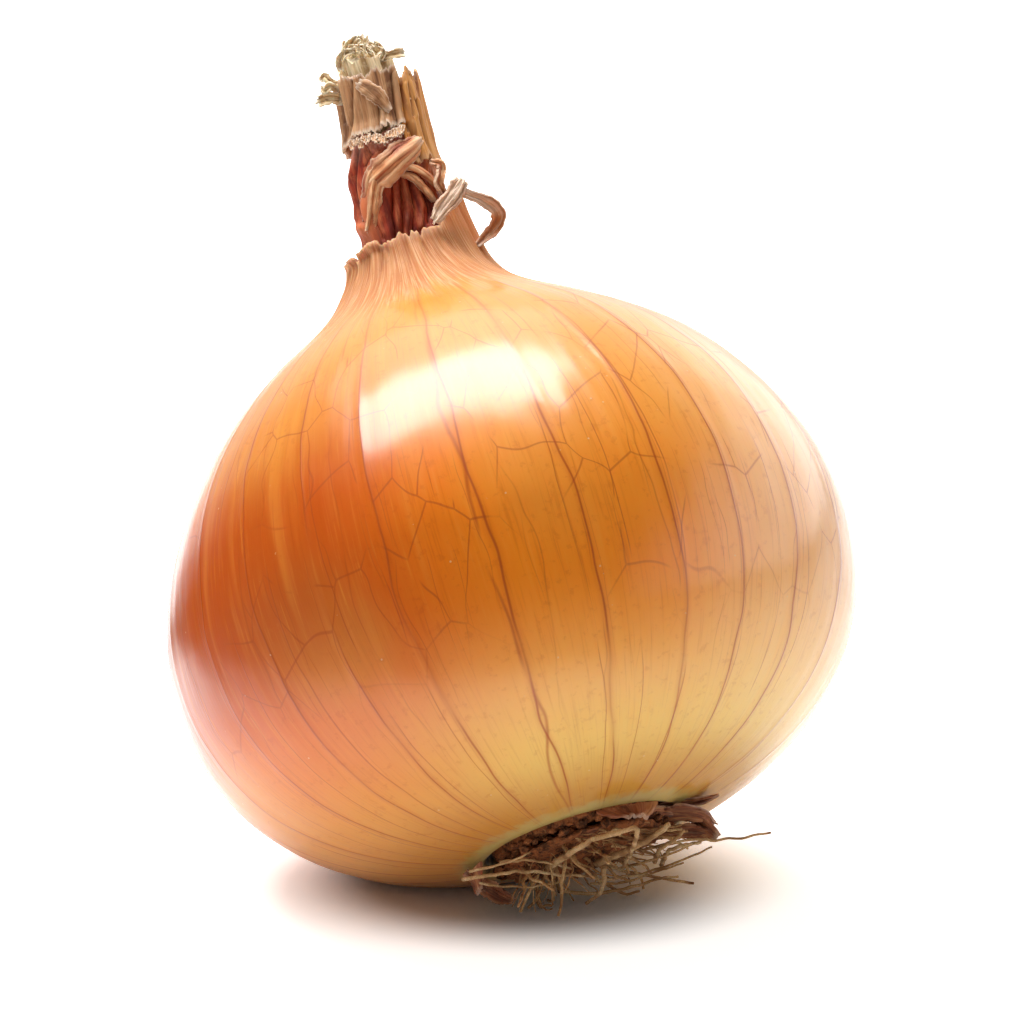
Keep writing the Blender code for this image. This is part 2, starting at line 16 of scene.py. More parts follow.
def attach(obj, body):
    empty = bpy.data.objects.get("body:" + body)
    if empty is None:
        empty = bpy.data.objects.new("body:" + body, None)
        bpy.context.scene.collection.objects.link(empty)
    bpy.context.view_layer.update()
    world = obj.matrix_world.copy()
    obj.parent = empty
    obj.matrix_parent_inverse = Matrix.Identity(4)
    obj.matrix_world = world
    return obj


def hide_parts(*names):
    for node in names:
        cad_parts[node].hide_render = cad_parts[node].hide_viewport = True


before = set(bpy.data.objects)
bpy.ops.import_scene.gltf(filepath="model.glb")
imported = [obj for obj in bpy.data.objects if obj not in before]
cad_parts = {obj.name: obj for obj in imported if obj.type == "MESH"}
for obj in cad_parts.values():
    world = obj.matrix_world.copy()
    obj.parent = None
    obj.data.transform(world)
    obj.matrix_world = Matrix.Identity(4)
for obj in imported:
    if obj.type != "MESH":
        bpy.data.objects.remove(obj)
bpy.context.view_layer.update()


# %% [markdown]
# ## The onion's own axes
# An onion is nearly a turned shape, so it is easiest to think of it standing up: the neck at the
# top, the roots at the bottom, and the middle of its widest ring at zero. All the shapes below
# are worked out there, in millimetres, and one matrix then lays them over as the onion lies. The
# dimensions are those that the solids were built from.

# %% Driving dimensions, in millimetres
MM = 0.001
TURN = 2.0 * math.pi
LEAN = math.radians(34.3)
HEADING = math.radians(29.8)
FLAT_DEPTH = 1.5
EQUATOR_RADIUS = 40.0
CROWN_HEIGHT = 37.9
CROWN_FULLNESS = 1.78
BASE_DEPTH = 30.7
BASE_FULLNESS = 2.3
SHOULDER_HEIGHT = 31.5
COLLAR_RADIUS = 7.3
COLLAR_HEIGHT = 43.2
COLLAR_WALL = 0.9
COLLAR_HANDLE = (1.5, -5.8)
SHOULDER_HANDLE = (-5.1, 3.2)
SOCKET_FLOOR = 36.6
DIMPLE_RADIUS = 12.2
DIMPLE_FLOOR = -26.2
PLATE_RADIUS = 10.6
PLATE_FACE = -29.7
MAT_RADIUS = 9.4
MAT_FACE = -31.4
GAP = 0.3
TIP_HEIGHT = 66.6
COLLAR_BEND = 0.7
TIP_BEND = 2.0


# %% Profiles of the bulb
def crown_profile(rows):
    """Radius and height down the upper half, from the shoulder to the widest ring."""
    start = math.asin((SHOULDER_HEIGHT / CROWN_HEIGHT) ** (CROWN_FULLNESS / 2.0))
    angle = start * (1.0 - np.arange(rows + 1) / rows)
    radius = EQUATOR_RADIUS * np.cos(angle) ** (2.0 / CROWN_FULLNESS)
    return np.column_stack([radius, CROWN_HEIGHT * np.sin(angle) ** (2.0 / CROWN_FULLNESS)])


def base_profile(rows):
    """Radius and height down the lower half, from the widest ring to the rim of the dimple."""
    end = math.acos((DIMPLE_RADIUS / EQUATOR_RADIUS) ** (BASE_FULLNESS / 2.0))
    angle = end * np.arange(1, rows + 1) / rows
    radius = EQUATOR_RADIUS * np.cos(angle) ** (2.0 / BASE_FULLNESS)
    return np.column_stack([radius, -BASE_DEPTH * np.sin(angle) ** (2.0 / BASE_FULLNESS)])


def neck_profile(rows):
    """The flare from the torn edge of the collar down to the shoulder, as one cubic curve.

    The two handles say how the curve leaves the collar and how it comes to the shoulder."""
    top = np.array([COLLAR_RADIUS, COLLAR_HEIGHT])
    bottom = crown_profile(1)[0]
    far = (np.arange(rows) / rows)[:, None]
    near = 1.0 - far
    curve = top * near**3 + (top + COLLAR_HANDLE) * (3.0 * near**2 * far)
    return curve + (bottom + SHOULDER_HANDLE) * (3.0 * near * far**2) + bottom * far**3


RIM_HEIGHT = base_profile(1)[0][1]
print("rim of the dimple at", round(RIM_HEIGHT, 1), "mm")


# %% Lay the onion over
def lean_frame():
    """The matrix from the onion's own axes, in metres, to where it lies."""
    heading = Vector((-math.sin(HEADING), math.cos(HEADING), 0.0))
    axis = heading * math.sin(LEAN) + Vector((0.0, 0.0, math.cos(LEAN)))
    outline = np.vstack([crown_profile(90), base_profile(90)])
    drop = outline[:, 1] * math.cos(LEAN) - outline[:, 0] * math.sin(LEAN)
    radius, height = outline[drop.argmin()]
    centre = heading * -(height * math.sin(LEAN) + radius * math.cos(LEAN))
    centre.z = -drop.min() - FLAT_DEPTH
    turn = Vector((0.0, 0.0, 1.0)).rotation_difference(axis)
    return Matrix.Translation(centre * MM) @ turn.to_matrix().to_4x4()


AXES = lean_frame()
TURNED = np.array(AXES.to_3x3())
CENTRE = np.array(AXES.translation)


def lying(points):
    """Carries points from the onion's own axes, in millimetres, to where it lies, in metres."""
    return points * MM @ TURNED.T + CENTRE


print("bulb centre", np.round(CENTRE / MM, 1), "mm")


# %% [markdown]
# ## Tools for shapes
# A dry leaf is a sheet, and a bulb's skin is a sheet rolled into a barrel. So each of these
# pieces starts as a flat grid primitive, and a rule lays its points: it takes how far across and
# how far along the grid each point is and gives its place on the onion. Merging the doubles then
# closes the seam and the poles, and a Solidify modifier gives an open leaf its thickness. An
# extrude or a spin alone couldn't follow a crumpled leaf, and sculpting can't be repeated.


# %% Small sums that the rules share
def smooth_step(low, high, value):
    """0 up to the low value, 1 from the high one, and a soft step between."""
    share = np.clip((value - low) / (high - low), 0.0, 1.0)
    return share * share * (3.0 - 2.0 * share)


def polar(angle, radius, height):
    """Points from their angle round the axis, their radius and their height."""
    angle, radius, height = np.broadcast_arrays(angle, radius, height)
    return np.column_stack([radius * np.cos(angle), radius * np.sin(angle), height])


def lumps(points, size):
    """Smooth noise from -1 to 1, with lumps of about this size in millimetres."""
    return np.array([noise.noise(point) for point in (np.asarray(points) / size).tolist()])


def ragged(angle, seed):
    """A torn edge round a ring, coarse and fine, mostly from -1 to 1."""
    ring = polar(angle, 2.2, seed)
    return 1.6 * lumps(ring, 1.0) + 0.7 * lumps(ring * 3.7, 1.0)


def off_from(angle, middle, half_width):
    """How far round the neck an angle is from a middle one, in half widths."""
    return np.abs((angle - middle + math.pi) % TURN - math.pi) / half_width


def bend_shift(height):
    """How far the neck has bent to the right at each height."""
    lower = COLLAR_BEND * smooth_step(SHOULDER_HEIGHT, COLLAR_HEIGHT, height)
    return lower + TIP_BEND * smooth_step(COLLAR_HEIGHT, TIP_HEIGHT, height)


def bent(points):
    """Carries points of the neck to the right, further the higher they are."""
    shift = bend_shift(points[:, 2])
    return points + np.column_stack([shift, 0.0 * shift, 0.0 * shift])


# %% Where the photograph shows a point
VIEW_DOWN = math.radians(15.0)
# pixels to a millimetre, and the pixel where the middle of the bulb shows
PHOTO_SCALE = 8.7
PHOTO_CENTRE = (508.4, 598.6)
SEEN_RIGHT = TURNED[0]
SEEN_UP = math.sin(VIEW_DOWN) * TURNED[1] + math.cos(VIEW_DOWN) * TURNED[2]


def shown(points):
    """The pixel at which the photograph shows each point of the onion's own axes."""
    right, up = points @ SEEN_RIGHT, points @ SEEN_UP
    px, py = PHOTO_CENTRE[0] + PHOTO_SCALE * right, PHOTO_CENTRE[1] - PHOTO_SCALE * up
    return np.column_stack([px, py])


def seen(px, py, near):
    """Points that show at these pixels and lie this far, in millimetres, towards the viewer."""
    right = (px - PHOTO_CENTRE[0]) / PHOTO_SCALE + SEEN_RIGHT[1] * near
    up = (PHOTO_CENTRE[1] - py) / PHOTO_SCALE + SEEN_UP[1] * near
    flat = np.array([[SEEN_RIGHT[0], SEEN_RIGHT[2]], [SEEN_UP[0], SEEN_UP[2]]])
    x, z = np.linalg.solve(flat, np.vstack([right, up]))
    return np.column_stack([x, -near, z])


def on_neck(px, py, radius):
    """Points that show at these pixels and lie this far from the axis of the neck."""
    near = radius + 0.0 * px
    for _ in range(6):
        at = seen(px, py, near)
        off = at[:, 0] - bend_shift(at[:, 2])
        near = np.sqrt(np.maximum(radius**2 - off**2, 0.04))
    return seen(px, py, near)


def at_height(px, py, height):
    """Points that show at these pixels and have this height on the onion's own axes."""
    right = (px - PHOTO_CENTRE[0]) / PHOTO_SCALE - SEEN_RIGHT[2] * height
    up = (PHOTO_CENTRE[1] - py) / PHOTO_SCALE - SEEN_UP[2] * height
    x, y = np.linalg.solve(np.array([SEEN_RIGHT[:2], SEEN_UP[:2]]), np.vstack([right, up]))
    return np.column_stack([x, y, height])


def line_blur(pixels, line, half_width):
    """1 on a line through some pixels, falling softly to 0 beside it."""
    best = np.full(len(pixels), 1e9)
    corners = np.array(line, float)
    for start, end in zip(corners[:-1], corners[1:]):
        run = end - start
        share = np.clip((pixels - start) @ run / (run @ run), 0.0, 1.0)
        best = np.minimum(best, np.linalg.norm(pixels - start - share[:, None] * run, axis=1))
    return np.exp(-((best / half_width) ** 2))


# %% Lay a sheet by a rule
def only(piece):
    """Makes a piece the only selected one, ready for an operator."""
    bpy.ops.object.select_all(action="DESELECT")
    piece.select_set(True)
    bpy.context.view_layer.objects.active = piece


def close_up(piece):
    """Merges doubles, closing seams and poles, and turns the faces outwards."""
    only(piece)
    bpy.ops.object.mode_set(mode="EDIT")
    bpy.ops.mesh.select_all(action="SELECT")
    bpy.ops.mesh.remove_doubles(threshold=0.001 * MM)
    bpy.ops.mesh.dissolve_degenerate(threshold=0.0001 * MM)
    bpy.ops.mesh.normals_make_consistent(inside=False)
    bpy.ops.object.mode_set(mode="OBJECT")


def mark(piece, name, values):
    """Stores a number at each point of a piece, for its finish to read."""
    stored = piece.data.attributes.new(name, "FLOAT", "POINT")
    stored.data.foreach_set("value", np.asarray(values, np.float32))


def laid_sheet(name, columns, rows, rule, thickness=0.0):
    """A grid primitive whose points are laid by rule(across, along), each from 0 to 1."""
    bpy.ops.object.select_all(action="DESELECT")
    bpy.ops.mesh.primitive_grid_add(x_subdivisions=columns, y_subdivisions=rows, size=1.0)
    piece = bpy.context.object
    piece.name = name
    flat = np.empty(3 * len(piece.data.vertices), np.float32)
    piece.data.vertices.foreach_get("co", flat)
    flat = flat.reshape(-1, 3).astype(float) + 0.5
    laid = rule(flat[:, 0], flat[:, 1])
    marks = {}
    if isinstance(laid, tuple):
        laid, marks = laid
    order = np.lexsort((flat[:, 0].round(5), flat[:, 1].round(5)))
    woven = laid[order].reshape(rows + 1, columns + 1, 3)
    marks["across"] = flat[:, 0] * np.linalg.norm(np.diff(woven, axis=1), axis=2).sum(axis=1).mean()
    marks["along"] = flat[:, 1] * np.linalg.norm(np.diff(woven, axis=0), axis=2).sum(axis=0).mean()
    world = lying(laid)
    world[:, 2] = np.maximum(world[:, 2], 0.0)
    piece.data.vertices.foreach_set("co", world.ravel().astype(np.float32))
    for key, values in marks.items():
        mark(piece, key, values)
    close_up(piece)
    if thickness:
        wall = piece.modifiers.new("thickness", "SOLIDIFY")
        wall.thickness = thickness * MM
        wall.offset = 0.0
        bpy.ops.object.modifier_apply(modifier=wall.name)
    return piece


def joined(pieces, name):
    """Several pieces as one, each keeping its own finish."""
    bpy.ops.object.select_all(action="DESELECT")
    for piece in pieces:
        piece.select_set(True)
    bpy.context.view_layer.objects.active = pieces[0]
    bpy.ops.object.join()
    pieces[0].name = name
    return pieces[0]


def dress(piece, node, finish=None, sharp=55.0):
    """Gives a piece its finish and its place in the model: it rides on the body, for its node."""
    if finish:
        piece.data.materials.clear()
        piece.data.materials.append(finish.material)
    only(piece)
    bpy.ops.object.shade_smooth_by_angle(angle=math.radians(sharp))
    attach(piece, "root")
    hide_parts(node)
    piece.data.calc_loop_triangles()
    print(piece.name, len(piece.data.loop_triangles), "triangles, for", node)


# %% [markdown]
# ## Tools for finishes
# Every finish is procedural and is worked out on the onion's own axes, so that its grain runs
# from neck to root as the real fibres do. A Mapping node set to TEXTURE takes the object
# coordinates back to those axes, in millimetres. The class below only saves writing: each method
# adds one node and returns its output.


# %% A finish, built up a node at a time
class Finish:
    """A material on the onion's own axes, in millimetres."""

    def __init__(self, name, sockets):
        self.material = bpy.data.materials.new(name)
        self.material.use_nodes = True
        self.tree = self.material.node_tree
        self.shader = self.tree.nodes["Principled BSDF"]
        for socket, value in sockets.items():
            self.plug(value, self.shader.inputs[socket])
        where = self.add("ShaderNodeTexCoord", {}, "Object")
        places = {"Vector": where, "Location": AXES.translation, "Rotation": AXES.to_euler()}
        places["Scale"] = (MM, MM, MM)
        self.place = self.add("ShaderNodeMapping", places, vector_type="TEXTURE")

    def plug(self, value, socket):
        if isinstance(value, bpy.types.NodeSocket):
            self.tree.links.new(value, socket)
        elif socket.type == "RGBA":
            socket.default_value = (*value[:3], 1.0)
        else:
            socket.default_value = value

    def add(self, kind, inputs, output=0, **settings):
        made = self.tree.nodes.new(kind)
        for name, value in settings.items():
            setattr(made, name, value)
        for key, value in inputs.items():
            self.plug(value, made.inputs[key])
        return made.outputs[output]

    def maths(self, operation, *values):
        return self.add("ShaderNodeMath", dict(enumerate(values)), operation=operation)

    def times(self, first, second):
        return self.maths("MULTIPLY", first, second)

    def split(self, vector):
        made = self.tree.nodes.new("ShaderNodeSeparateXYZ")
        self.plug(vector, made.inputs[0])
        return made.outputs[:3]

    def vector(self, x, y, z):
        return self.add("ShaderNodeCombineXYZ", {0: x, 1: y, 2: z})

    def stretch(self, vector, sizes):
        return self.add("ShaderNodeVectorMath", {0: vector, 1: sizes}, operation="MULTIPLY")

    def grain(self, vector, scale, detail=2.0, roughness=0.5):
        """Smooth noise from 0 to 1."""
        inputs = {"Vector": vector, "Scale": scale, "Detail": detail, "Roughness": roughness}
        return self.add("ShaderNodeTexNoise", inputs)

    def step(self, value, low, high, start=0.0, end=1.0):
        """A soft step from start to end while the value goes from low to high."""
        inputs = {"Value": value, "From Min": low, "From Max": high, "To Min": start, "To Max": end}
        return self.add("ShaderNodeMapRange", inputs, interpolation_type="SMOOTHSTEP")

    def blend(self, share, first, second):
        """From the first colour to the second as the share goes from 0 to 1."""
        return self.add("ShaderNodeMix", {0: share, 6: first, 7: second}, 2, data_type="RGBA")

    def wash(self, colour, share, amount, tone):
        """A tone laid over a colour, as strong as a share times an amount."""
        return self.blend(self.times(share, amount), colour, tone)

    def stored(self, name):
        """A number that mark stored at the points of the piece."""
        return self.add("ShaderNodeAttribute", {}, "Fac", attribute_name=name)

    def relief(self, height, distance):
        """The normal of a surface raised this many millimetres where the height is 1."""
        inputs = {"Height": height, "Distance": distance * MM, "Strength": 1.0}
        return self.add("ShaderNodeBump", inputs)

    def set(self, socket, value):
        self.plug(value, self.shader.inputs[socket])


# %% [markdown]
# ## The skin
# The outer skin is one thin golden leaf drawn tight over the bulb. Its veins run from the root
# plate to the neck as fine raised ribs, its face between them is almost flat, and at the top it
# is gathered into pleats and torn off round the neck. The solid has this form with few faces.
# Here the same profile is laid with 480 columns, so the ribs can be as narrow as they are.

# %% Veins, pleats and the torn edge
VEIN_COUNT = 24
VEIN_DRIFTS = [(0.004, 5.0, 1.3), (0.0016, 11.0, 0.0)]
RIB_HEIGHT = 0.07
RIB_HALF_WIDTH = 0.45
PLEATS = 17.0
SMALL_PLEATS = 39.0
PLEAT_DEPTH = 0.30
SMALL_PLEAT_DEPTH = 0.12
CREASE_DEPTH = 0.55
TAB_AT = math.radians(-22.0)
TAB_HALF_WIDTH = math.radians(34.0)
TAB_HEIGHT = 4.4
LIP_AT = math.radians(-135.0)
LIP_HALF_WIDTH = math.radians(42.0)
LIP_ROLL = 0.55
DIP_AT = math.radians(20.0)


def vein_place(angle):
    """How many veins round a point is: whole numbers are on a vein."""
    drift = sum(amount * np.sin(times * angle + phase) for amount, times, phase in VEIN_DRIFTS)
    return VEIN_COUNT * (angle / TURN - drift)


def shoulder_dip(angle, height):
    """How far the skin sinks between the shoulder and the collar, on one side of the neck."""
    band = smooth_step(22.0, SHOULDER_HEIGHT, height) * smooth_step(COLLAR_HEIGHT, 36.0, height)
    return band * np.maximum(0.0, np.cos(angle - DIP_AT))


def collar_edge(angle):
    """How far the torn edge stands up: the tab at the right, and its raggedness."""
    tab = TAB_HEIGHT * smooth_step(1.0, 0.45, off_from(angle, TAB_AT, TAB_HALF_WIDTH))
    return tab + 1.0 * ragged(angle, 4.0)


# %% The whole profile, with rows where they are needed
def skin_profile():
    """Radius and height from the floor of the socket over the skin to the floor of the dimple."""
    inside = COLLAR_RADIUS - COLLAR_WALL
    socket = [(0.0, SOCKET_FLOOR), (0.6 * inside, SOCKET_FLOOR), (inside, SOCKET_FLOOR + 0.4)]
    for share in (0.25, 0.5, 0.75, 0.9):
        socket.append((inside, SOCKET_FLOOR + share * (COLLAR_HEIGHT - SOCKET_FLOOR)))
    socket += [(inside + 0.2, COLLAR_HEIGHT - 0.1), (inside + 0.5, COLLAR_HEIGHT + 0.15)]
    dimple = [(DIMPLE_RADIUS - 0.5, RIM_HEIGHT + 0.15), (DIMPLE_RADIUS - 0.9, RIM_HEIGHT + 0.5)]
    dimple += [(DIMPLE_RADIUS - 1.2, RIM_HEIGHT + 1.6), (PLATE_RADIUS + GAP, DIMPLE_FLOOR)]
    dimple += [(0.5 * PLATE_RADIUS, DIMPLE_FLOOR), (0.0, DIMPLE_FLOOR)]
    outside = [neck_profile(NECK_ROWS), crown_profile(CROWN_ROWS), base_profile(BASE_ROWS)]
    return np.vstack([socket, *outside, dimple]), len(socket)


NECK_ROWS, CROWN_ROWS, BASE_ROWS = 46, 64, 58
SKIN_PROFILE, SOCKET_ROWS = skin_profile()
SKIN_COLUMNS = 480
SKIN_ROWS = len(SKIN_PROFILE) - 1
print("skin laid with", SKIN_COLUMNS, "columns and", SKIN_ROWS, "rows")


def skin_rule(across, along):
    """Where each point of the skin lies, with its ribs, pleats, dents and torn edge."""
    row = along * SKIN_ROWS
    radius = np.interp(row, np.arange(SKIN_ROWS + 1), SKIN_PROFILE[:, 0])
    height = np.interp(row, np.arange(SKIN_ROWS + 1), SKIN_PROFILE[:, 1])
    angle = TURN * (across % 1.0)
    at = polar(angle, radius, height)
    outside = row >= SOCKET_ROWS
    on_skin = outside * smooth_step(DIMPLE_RADIUS + 0.2, DIMPLE_RADIUS + 7.0, radius)
    on_vein = vein_place(angle)
    off = (on_vein - np.round(on_vein)) * TURN / VEIN_COUNT * radius
    radius = radius + RIB_HEIGHT * on_skin * np.exp(-((off / RIB_HALF_WIDTH) ** 2))
    # broad and small dents, and a fine unevenness drawn out from neck to root
    fine = polar(angle, 22.0, height * 0.09)
    radius += on_skin * (0.2 * lumps(at, 15.0) + 0.07 * lumps(at + 40.0, 5.0))
    radius += on_skin * 0.035 * lumps(fine, 0.9)
    # the gathered neck
    in_collar = smooth_step(SOCKET_FLOOR - 1.0, COLLAR_HEIGHT, height)
    pleat = np.sin(PLEATS * angle + 0.9 * np.sin(3.0 * angle))
    small = np.sin(SMALL_PLEATS * angle + 2.0 * np.sin(4.0 * angle) + 0.25 * height)
    crease = np.abs(lumps(polar(angle, 9.0, height * 0.10), 0.62))
    gather = PLEAT_DEPTH * pleat + SMALL_PLEAT_DEPTH * small - CREASE_DEPTH * crease
    radius += in_collar * (gather + 0.1)
    flare = outside * smooth_step(29.0, 36.0, height)
    radius += flare * 0.16 * lumps(polar(angle, 10.0, height * 0.35), 0.8)
    # the torn edge, and the lip that rolls outwards at its left
    torn = smooth_step(COLLAR_HEIGHT - 4.2, COLLAR_HEIGHT, height)
    edge = smooth_step(COLLAR_HEIGHT - 1.2, COLLAR_HEIGHT, height)
    height = height + torn * collar_edge(angle) - shoulder_dip(angle, height)
    height += edge * 0.5 * lumps(polar(angle, 14.0, 3.0), 0.8)
    radius += edge * (0.35 * np.maximum(0.0, lumps(polar(angle, 5.0, 1.0), 1.0)) + 0.05)
    rolled = smooth_step(COLLAR_HEIGHT - 0.9, COLLAR_HEIGHT, height)
    lip = smooth_step(1.0, 0.4, off_from(angle, LIP_AT, LIP_HALF_WIDTH)) * rolled
    radius += LIP_ROLL * lip
    laid = bent(polar(angle, radius, height))
    gathered = in_collar * smooth_step(-0.05, -0.5, gather) * (1.0 - 0.7 * lip)
    tab = smooth_step(1.0, 0.6, off_from(angle, TAB_AT, TAB_HALF_WIDTH))
    tab = tab * smooth_step(COLLAR_HEIGHT - 3.0, COLLAR_HEIGHT + 0.5, height)
    inside = np.where(outside, 0.0, 1.0)
    return laid, {"inside": inside, "edge": edge, "pleat": gathered, "tab": tab}


skin = laid_sheet("outer_skin", SKIN_COLUMNS, SKIN_ROWS, skin_rule)

# %% [markdown]
# ### The finish of the skin
# The skin is a translucent golden-orange film with a hard gloss. Deep orange shows where nothing
# white is mirrored in it, so the colour itself is saturated, and a coat on the shader adds the
# pale veil and the bright window of the lamp. Veins are lines at a distance from whole numbers of
# `vein_place`, the same sum as the ribs, so line and rib agree. Thinner sets of veins run between
# them, and a stretched Voronoi pattern gives the branching net. The colours change slowly round
# and down the bulb, as the photograph shows. The pale peach at the right is a painted sheen of
# the bright surroundings, and the gold on the lower half is partly the skin's own tone and partly
# a painted glow of light bounced up from the floor.

# %% Coordinates that follow the skin
GLOSS = {"Coat Roughness": 0.2, "Coat IOR": 1.5, "IOR": 1.5, "Specular IOR Level": 0.2}
golden = Finish("golden onion skin", GLOSS)
x, y, z = golden.split(golden.place)
ring = golden.maths("ADD", golden.maths("POWER", x, 2.0), golden.maths("POWER", y, 2.0))
ring = golden.maths("SQRT", ring)
round_angle = golden.maths("ARCTAN2", y, x)
front_angle = golden.maths("ARCTAN2", x, golden.times(y, -1.0))
tilt = golden.maths("ARCTAN2", ring, z)
unit_x = golden.maths("COSINE", round_angle)
unit_y = golden.maths("SINE", round_angle)
meridian = golden.vector(unit_x, unit_y, tilt)
wobble = golden.maths("SUBTRACT", golden.grain(golden.place, 0.075, 2.0, 0.35), 0.5)


# %% Vein lines
def vein_lines(count, drifts, wander, half_width):
    """Lines from neck to root: 1 on the line. drifts are (amplitude, times round, phase)."""
    share = golden.times(round_angle, count / TURN)
    for amplitude, times, phase in drifts:
        wave = golden.maths("SINE", golden.maths("MULTIPLY_ADD", round_angle, times, phase))
        share = golden.maths("MULTIPLY_ADD", wave, -amplitude, share)
    off = golden.maths("SUBTRACT", share, golden.maths("ROUND", share))
    off = golden.times(golden.times(off, TURN / count), ring)
    swing = golden.times(wobble, golden.step(ring, 8.0, 34.0, 0.1 * wander, wander))
    off = golden.maths("ABSOLUTE", golden.maths("ADD", swing, off))
    return golden.step(off, golden.step(ring, 10.0, 34.0, 0.45 * half_width, half_width), 0.0)


def patches(scale, low, high, seed):
    """Slow changes along and round the skin, from 0 to 1."""
    moved = golden.add("ShaderNodeVectorMath", {0: golden.place, 1: (seed, 0.0, seed)})
    return golden.step(golden.grain(moved, scale, 1.0), low, high)


def vein_set(count, drifts, wander, half_width, patch):
    """Lines that show only in patches: (scale, low, high, seed)."""
    return golden.times(vein_lines(count, drifts, wander, half_width), patches(*patch))


main_drifts = [(VEIN_COUNT * amount, times, phase) for amount, times, phase in VEIN_DRIFTS]
main_glow = vein_lines(VEIN_COUNT, main_drifts, 2.4, 0.8)
main_veins = vein_set(VEIN_COUNT, main_drifts, 2.4, 0.22, (0.055, 0.25, 0.5, 7.0))
second_drifts = [(0.3, 4.0, 0.4), (0.2, 9.0, 2.0)]
second_veins = vein_set(31.0, second_drifts, -1.8, 0.16, (0.07, 0.38, 0.55, 31.0))
third_drifts = [(0.35, 6.0, 1.0), (0.2, 13.0, 0.3)]
third_veins = vein_set(53.0, third_drifts, 4.0, 0.12, (0.09, 0.42, 0.6, 53.0))
fine_drifts = [(0.35, 5.0, 2.0), (0.2, 17.0, 0.3)]
fine_veins = vein_set(97.0, fine_drifts, -2.0, 0.09, (0.11, 0.45, 0.65, 77.0))
off_shoulder = golden.step(tilt, 0.6, 1.1, 0.45, 1.0)
main_veins = golden.times(main_veins, off_shoulder)
second_veins = golden.times(second_veins, off_shoulder)
above_base = golden.step(tilt, 2.35, 1.85, 0.15, 1.0)
third_veins = golden.times(third_veins, above_base)
fine_veins = golden.times(fine_veins, above_base)

# %% The branching net and the fine streaks
# cells of the net to a radian, round the bulb and down it
NET_ROUND = 36.0 / 6.0
NET_DOWN = 36.0 / 9.5
bend_x = golden.maths("SUBTRACT", golden.grain(golden.place, 0.1, 1.0), 0.5)
net_x = golden.maths("MULTIPLY_ADD", bend_x, 0.9, golden.times(front_angle, NET_ROUND))
net_y = golden.maths("MULTIPLY_ADD", bend_x, -0.5, golden.times(tilt, NET_DOWN))
net_cells = {"Vector": golden.vector(net_x, net_y, 0.0), "Scale": 1.0, "Randomness": 1.0}
to_edge = {"voronoi_dimensions": "2D", "feature": "DISTANCE_TO_EDGE"}
net_edge = golden.add("ShaderNodeTexVoronoi", net_cells, "Distance", **to_edge)
net = golden.step(net_edge, 0.021, 0.004)
net = golden.times(net, patches(0.045, 0.36, 0.5, 91.0))
net = golden.times(net, golden.step(golden.grain(golden.place, 0.14, 1.0), 0.4, 0.52))
net = golden.times(net, golden.step(tilt, 0.5, 0.8))
net = golden.times(net, golden.step(tilt, 2.1, 1.7))
net = golden.times(net, golden.step(golden.maths("ABSOLUTE", front_angle), 3.0, 2.6))
streaks = golden.grain(golden.stretch(meridian, (95.0, 95.0, 4.0)), 1.0, 3.0, 0.6)
broad_streaks = golden.grain(golden.stretch(meridian, (16.0, 16.0, 1.2)), 1.0, 2.0)
mottle = golden.grain(golden.place, 0.9, 3.0, 0.65)

# %% Colour of the skin
# linear red, green and blue, as the sockets take them
DEEP_ORANGE = (0.72, 0.125, 0.001)
AMBER = (0.92, 0.25, 0.004)
OCHRE = (0.70, 0.235, 0.012)
WARM_GOLD = (0.90, 0.60, 0.16)
PEACH = (0.80, 0.36, 0.06)
# the next tone is a painted sheen at the right of the skin
SHEEN_PEACH = (0.95, 0.47, 0.15)
BURNT_GOLD = (0.62, 0.24, 0.015)
BRIGHT_FIBRE = (0.95, 0.42, 0.06)
DARK_FIBRE = (0.42, 0.05, 0.0)
RUDDY = (0.50, 0.070, 0.0)
VEIN_RED = (0.42, 0.070, 0.006)
SPECK = (0.85, 0.6, 0.3)
# tilt goes from 0 at the neck to 3.1 at the roots; unit_x from -1 at the left to 1 at the right
ground = golden.blend(golden.step(unit_x, -0.48, 0.15), DEEP_ORANGE, AMBER)
ground = golden.blend(golden.step(tilt, 1.4, 1.0, 0.0, 0.85), ground, OCHRE)
# paler peach at the right, weaker towards the neck: a painted sheen of the bright surroundings
below_neck = golden.step(tilt, 0.85, 1.3, 0.15, 0.8)
right_sheen = golden.times(golden.step(unit_x, 0.43, 0.84), below_neck)
ground = golden.blend(right_sheen, ground, SHEEN_PEACH)
zone = golden.grain(golden.place, 0.028, 1.0)
colour = golden.blend(golden.step(zone, 0.42, 0.62), ground, golden.blend(0.5, ground, PEACH))
# gold on the lower half, less at the left: partly the skin's own tone, partly a painted glow of
# light bounced up from the floor
gold_and_bounce_glow = golden.step(tilt, 1.75, 2.45)
in_front = golden.step(unit_x, -0.8, 0.0, 0.35, 0.95)
colour = golden.blend(golden.times(gold_and_bounce_glow, in_front), colour, WARM_GOLD)
colour = golden.blend(golden.step(tilt, 2.3, 2.62, 0.0, 0.75), colour, BURNT_GOLD)
colour = golden.blend(golden.step(tilt, 1.1, 0.55, 0.0, 0.7), colour, PEACH)
lighter = golden.blend(0.5, colour, BRIGHT_FIBRE)
darker = golden.blend(0.5, colour, DARK_FIBRE)
ruddy = golden.times(golden.step(unit_x, -0.1, -0.64), golden.step(tilt, 0.95, 1.35))
ruddy = golden.times(ruddy, golden.step(tilt, 2.0, 1.6))
colour = golden.wash(colour, ruddy, 0.8, RUDDY)
colour = golden.blend(golden.step(broad_streaks, 0.5, 0.72, 0.0, 0.35), colour, lighter)
colour = golden.blend(golden.step(streaks, 0.52, 0.8, 0.0, 0.35), colour, lighter)
colour = golden.blend(golden.step(streaks, 0.48, 0.25, 0.0, 0.45), colour, darker)
colour = golden.wash(colour, main_glow, 0.4, darker)
